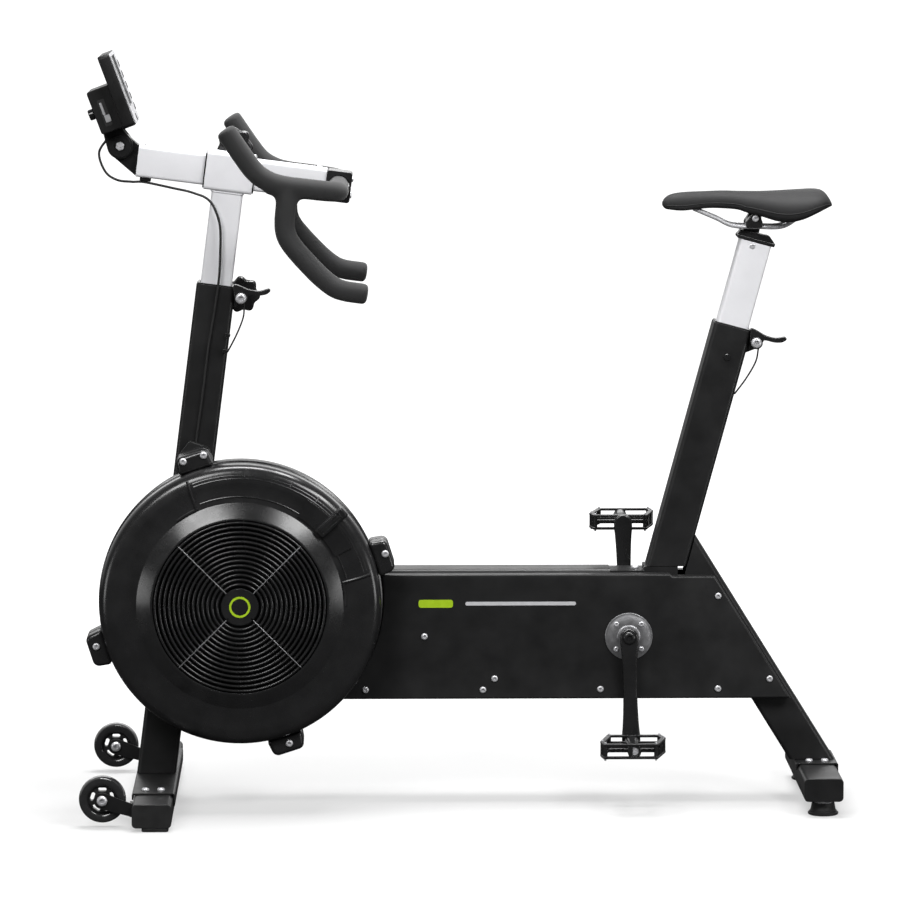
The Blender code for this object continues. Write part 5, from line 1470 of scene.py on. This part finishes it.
def saddle():
    """Padded saddle with piping on each side, on two bent rails held by a tilting clamp."""
    stations = [
        (0.3285, 0.007, 0.979, 0.974),
        (0.333, 0.014, 0.986, 0.9685),
        (0.3433, 0.019, 0.9922, 0.9655),
        (0.3647, 0.022, 0.9955, 0.964),
        (0.3977, 0.024, 0.9968, 0.969),
        (0.425, 0.026, 0.9978, 0.969),
        (0.4483, 0.029, 0.9972, 0.967),
        (0.4638, 0.034, 0.997, 0.961),
        (0.4833, 0.042, 0.9968, 0.956),
        (0.5, 0.051, 0.9972, 0.9505),
        (0.5144, 0.059, 0.9978, 0.9465),
        (0.5338, 0.068, 0.9988, 0.9455),
        (0.5533, 0.075, 0.9998, 0.9505),
        (0.568, 0.076, 1.0004, 0.9575),
        (0.5805, 0.073, 1.0, 0.964),
        (0.59, 0.066, 0.997, 0.969),
        (0.597, 0.056, 0.989, 0.9725),
        (0.602, 0.04, 0.98, 0.9745),
    ]
    sides = 48
    path = smooth_path([(x, half, top) for x, half, top, _ in stations], 3)
    bottoms = [p.z for p in smooth_path([(x, half, bottom) for x, half, _, bottom in stations], 3)]
    under_z = 0.9672
    points = []
    for centre, bottom in zip(path, bottoms):
        middle = bottom + (centre.z - bottom) * 0.36
        for a, b in circle(1.0, steps=sides):
            across = math.copysign(abs(a) ** 0.85, a)
            skirt = min(1.0, max(0.0, (abs(across) - 0.4) / 0.4))
            skirt = skirt * skirt * (3 - 2 * skirt)
            if b > 0:
                z = middle + (centre.z - middle) * (b ** 0.85 - 0.06 * across * across)
            else:
                lowest = bottom + max(0.0, under_z - bottom) * (1 - skirt)
                z = middle - (middle - lowest) * abs(b) ** 0.45
            points.append((centre.x, centre.y * across, z))
    faces = []
    for index in range(len(path) - 1):
        faces += side_faces(index * sides, (index + 1) * sides, sides)
    last = (len(path) - 1) * sides
    faces += [tuple(range(sides)), tuple(range(last, last + sides))]
    cover = add("saddle_padding", mesh_of(points, faces), saddle_cover, "saddle", replaces=["saddle"])
    cover.data.shade_smooth()
    rounder = cover.modifiers.new("rounder", "SUBSURF")
    rounder.levels = 1
    rounder.render_levels = 1
    for side, word in SIDES:
        edge = [(p.x, side * p.y * 0.998, b + (p.z - b) * 0.33) for p, b in zip(path, bottoms)][4:-3]
        add(f"saddle_piping_{word}", tube(edge, 0.0009, 10, dome=0.6), saddle_cover, "saddle")

    rail = [
        (0.379, 0.009, 0.969),
        (0.415, 0.016, 0.954),
        (0.442, 0.022, 0.942),
        (0.48, 0.022, 0.94),
        (0.52, 0.022, 0.94),
        (0.542, 0.03, 0.952),
        (0.554, 0.034, 0.964),
    ]
    rails = []
    for side in (-1, 1):
        rails.append(tube(smooth_path([(x, side * y, z) for x, y, z in rail]), RAIL_RADIUS, 20))
    add("saddle_rail_pair", joined(rails), bright_steel, "saddle", replaces=["saddle_rails"])
    x, z = SADDLE_PIVOT[0], SADDLE_PIVOT[2]
    cheek = hull(circle(0.0088, (x, z), 40) + rounded(0.027, 0.013, 0.004, (x - 0.0015, z - 0.009)))
    parts = [prism(cheek, -0.029, -0.0105), prism(cheek, 0.0105, 0.029)]
    add("saddle_clamp_cheeks", joined(parts), black_plastic, "saddle", bevel=0.0015)
    bolt = [cross_rod(0.0041, -0.03, 0.03, x, z)]
    bolt.append(screws([(x, -0.029, z)], (0, -1, 0), 0.0056, 0.0034))
    bolt.append(screws([(x, 0.029, z)], (0, 1, 0), 0.0056, 0.0034))
    add("saddle_clamp_bolt", joined(bolt), bright_steel, "saddle")


def carried_nodes():
    """Finishes for the CAD pieces that are kept as they are."""
    kept = {
        "crank_housing": black_frame,
        "crank_belt": black_rubber,
        "fan_belt": black_rubber,
        "crank_spindle": bright_steel,
        "crank_pulley": black_plastic,
        "counter_shaft": bright_steel,
        "counter_pulley": black_plastic,
        "fan_shaft": bright_steel,
    }
    for name, material in kept.items():
        slots = frame["nodes"][name].data.materials
        slots.clear()
        slots.append(material)


camera()
lights()
world()
floor()
bpy.context.scene.view_settings.view_transform = "Standard"

columns()
main_beam()
side_covers()
feet()
levelling_feet()
transport_wheels()
cranks()
cage()
fan()
damper()
handlebar_post()
knob("front_knob", CLAMP_PIVOT_U, COLUMN_TOP - CLAMP_PIVOT_DROP, 0.0393)
knob("beam_knob", 0.002, BEAM_KNOB_W, 0.0123)
release_lever("front_release_lever", FRONT_CLAMP)
release_lever("seat_release_lever", SEAT_CLAMP)
seat_clamp_bolt(SEAT_CLAMP)
handlebar_beam()
handlebar()
monitor()
lead()
seat_post()
saddle()
carried_nodes()
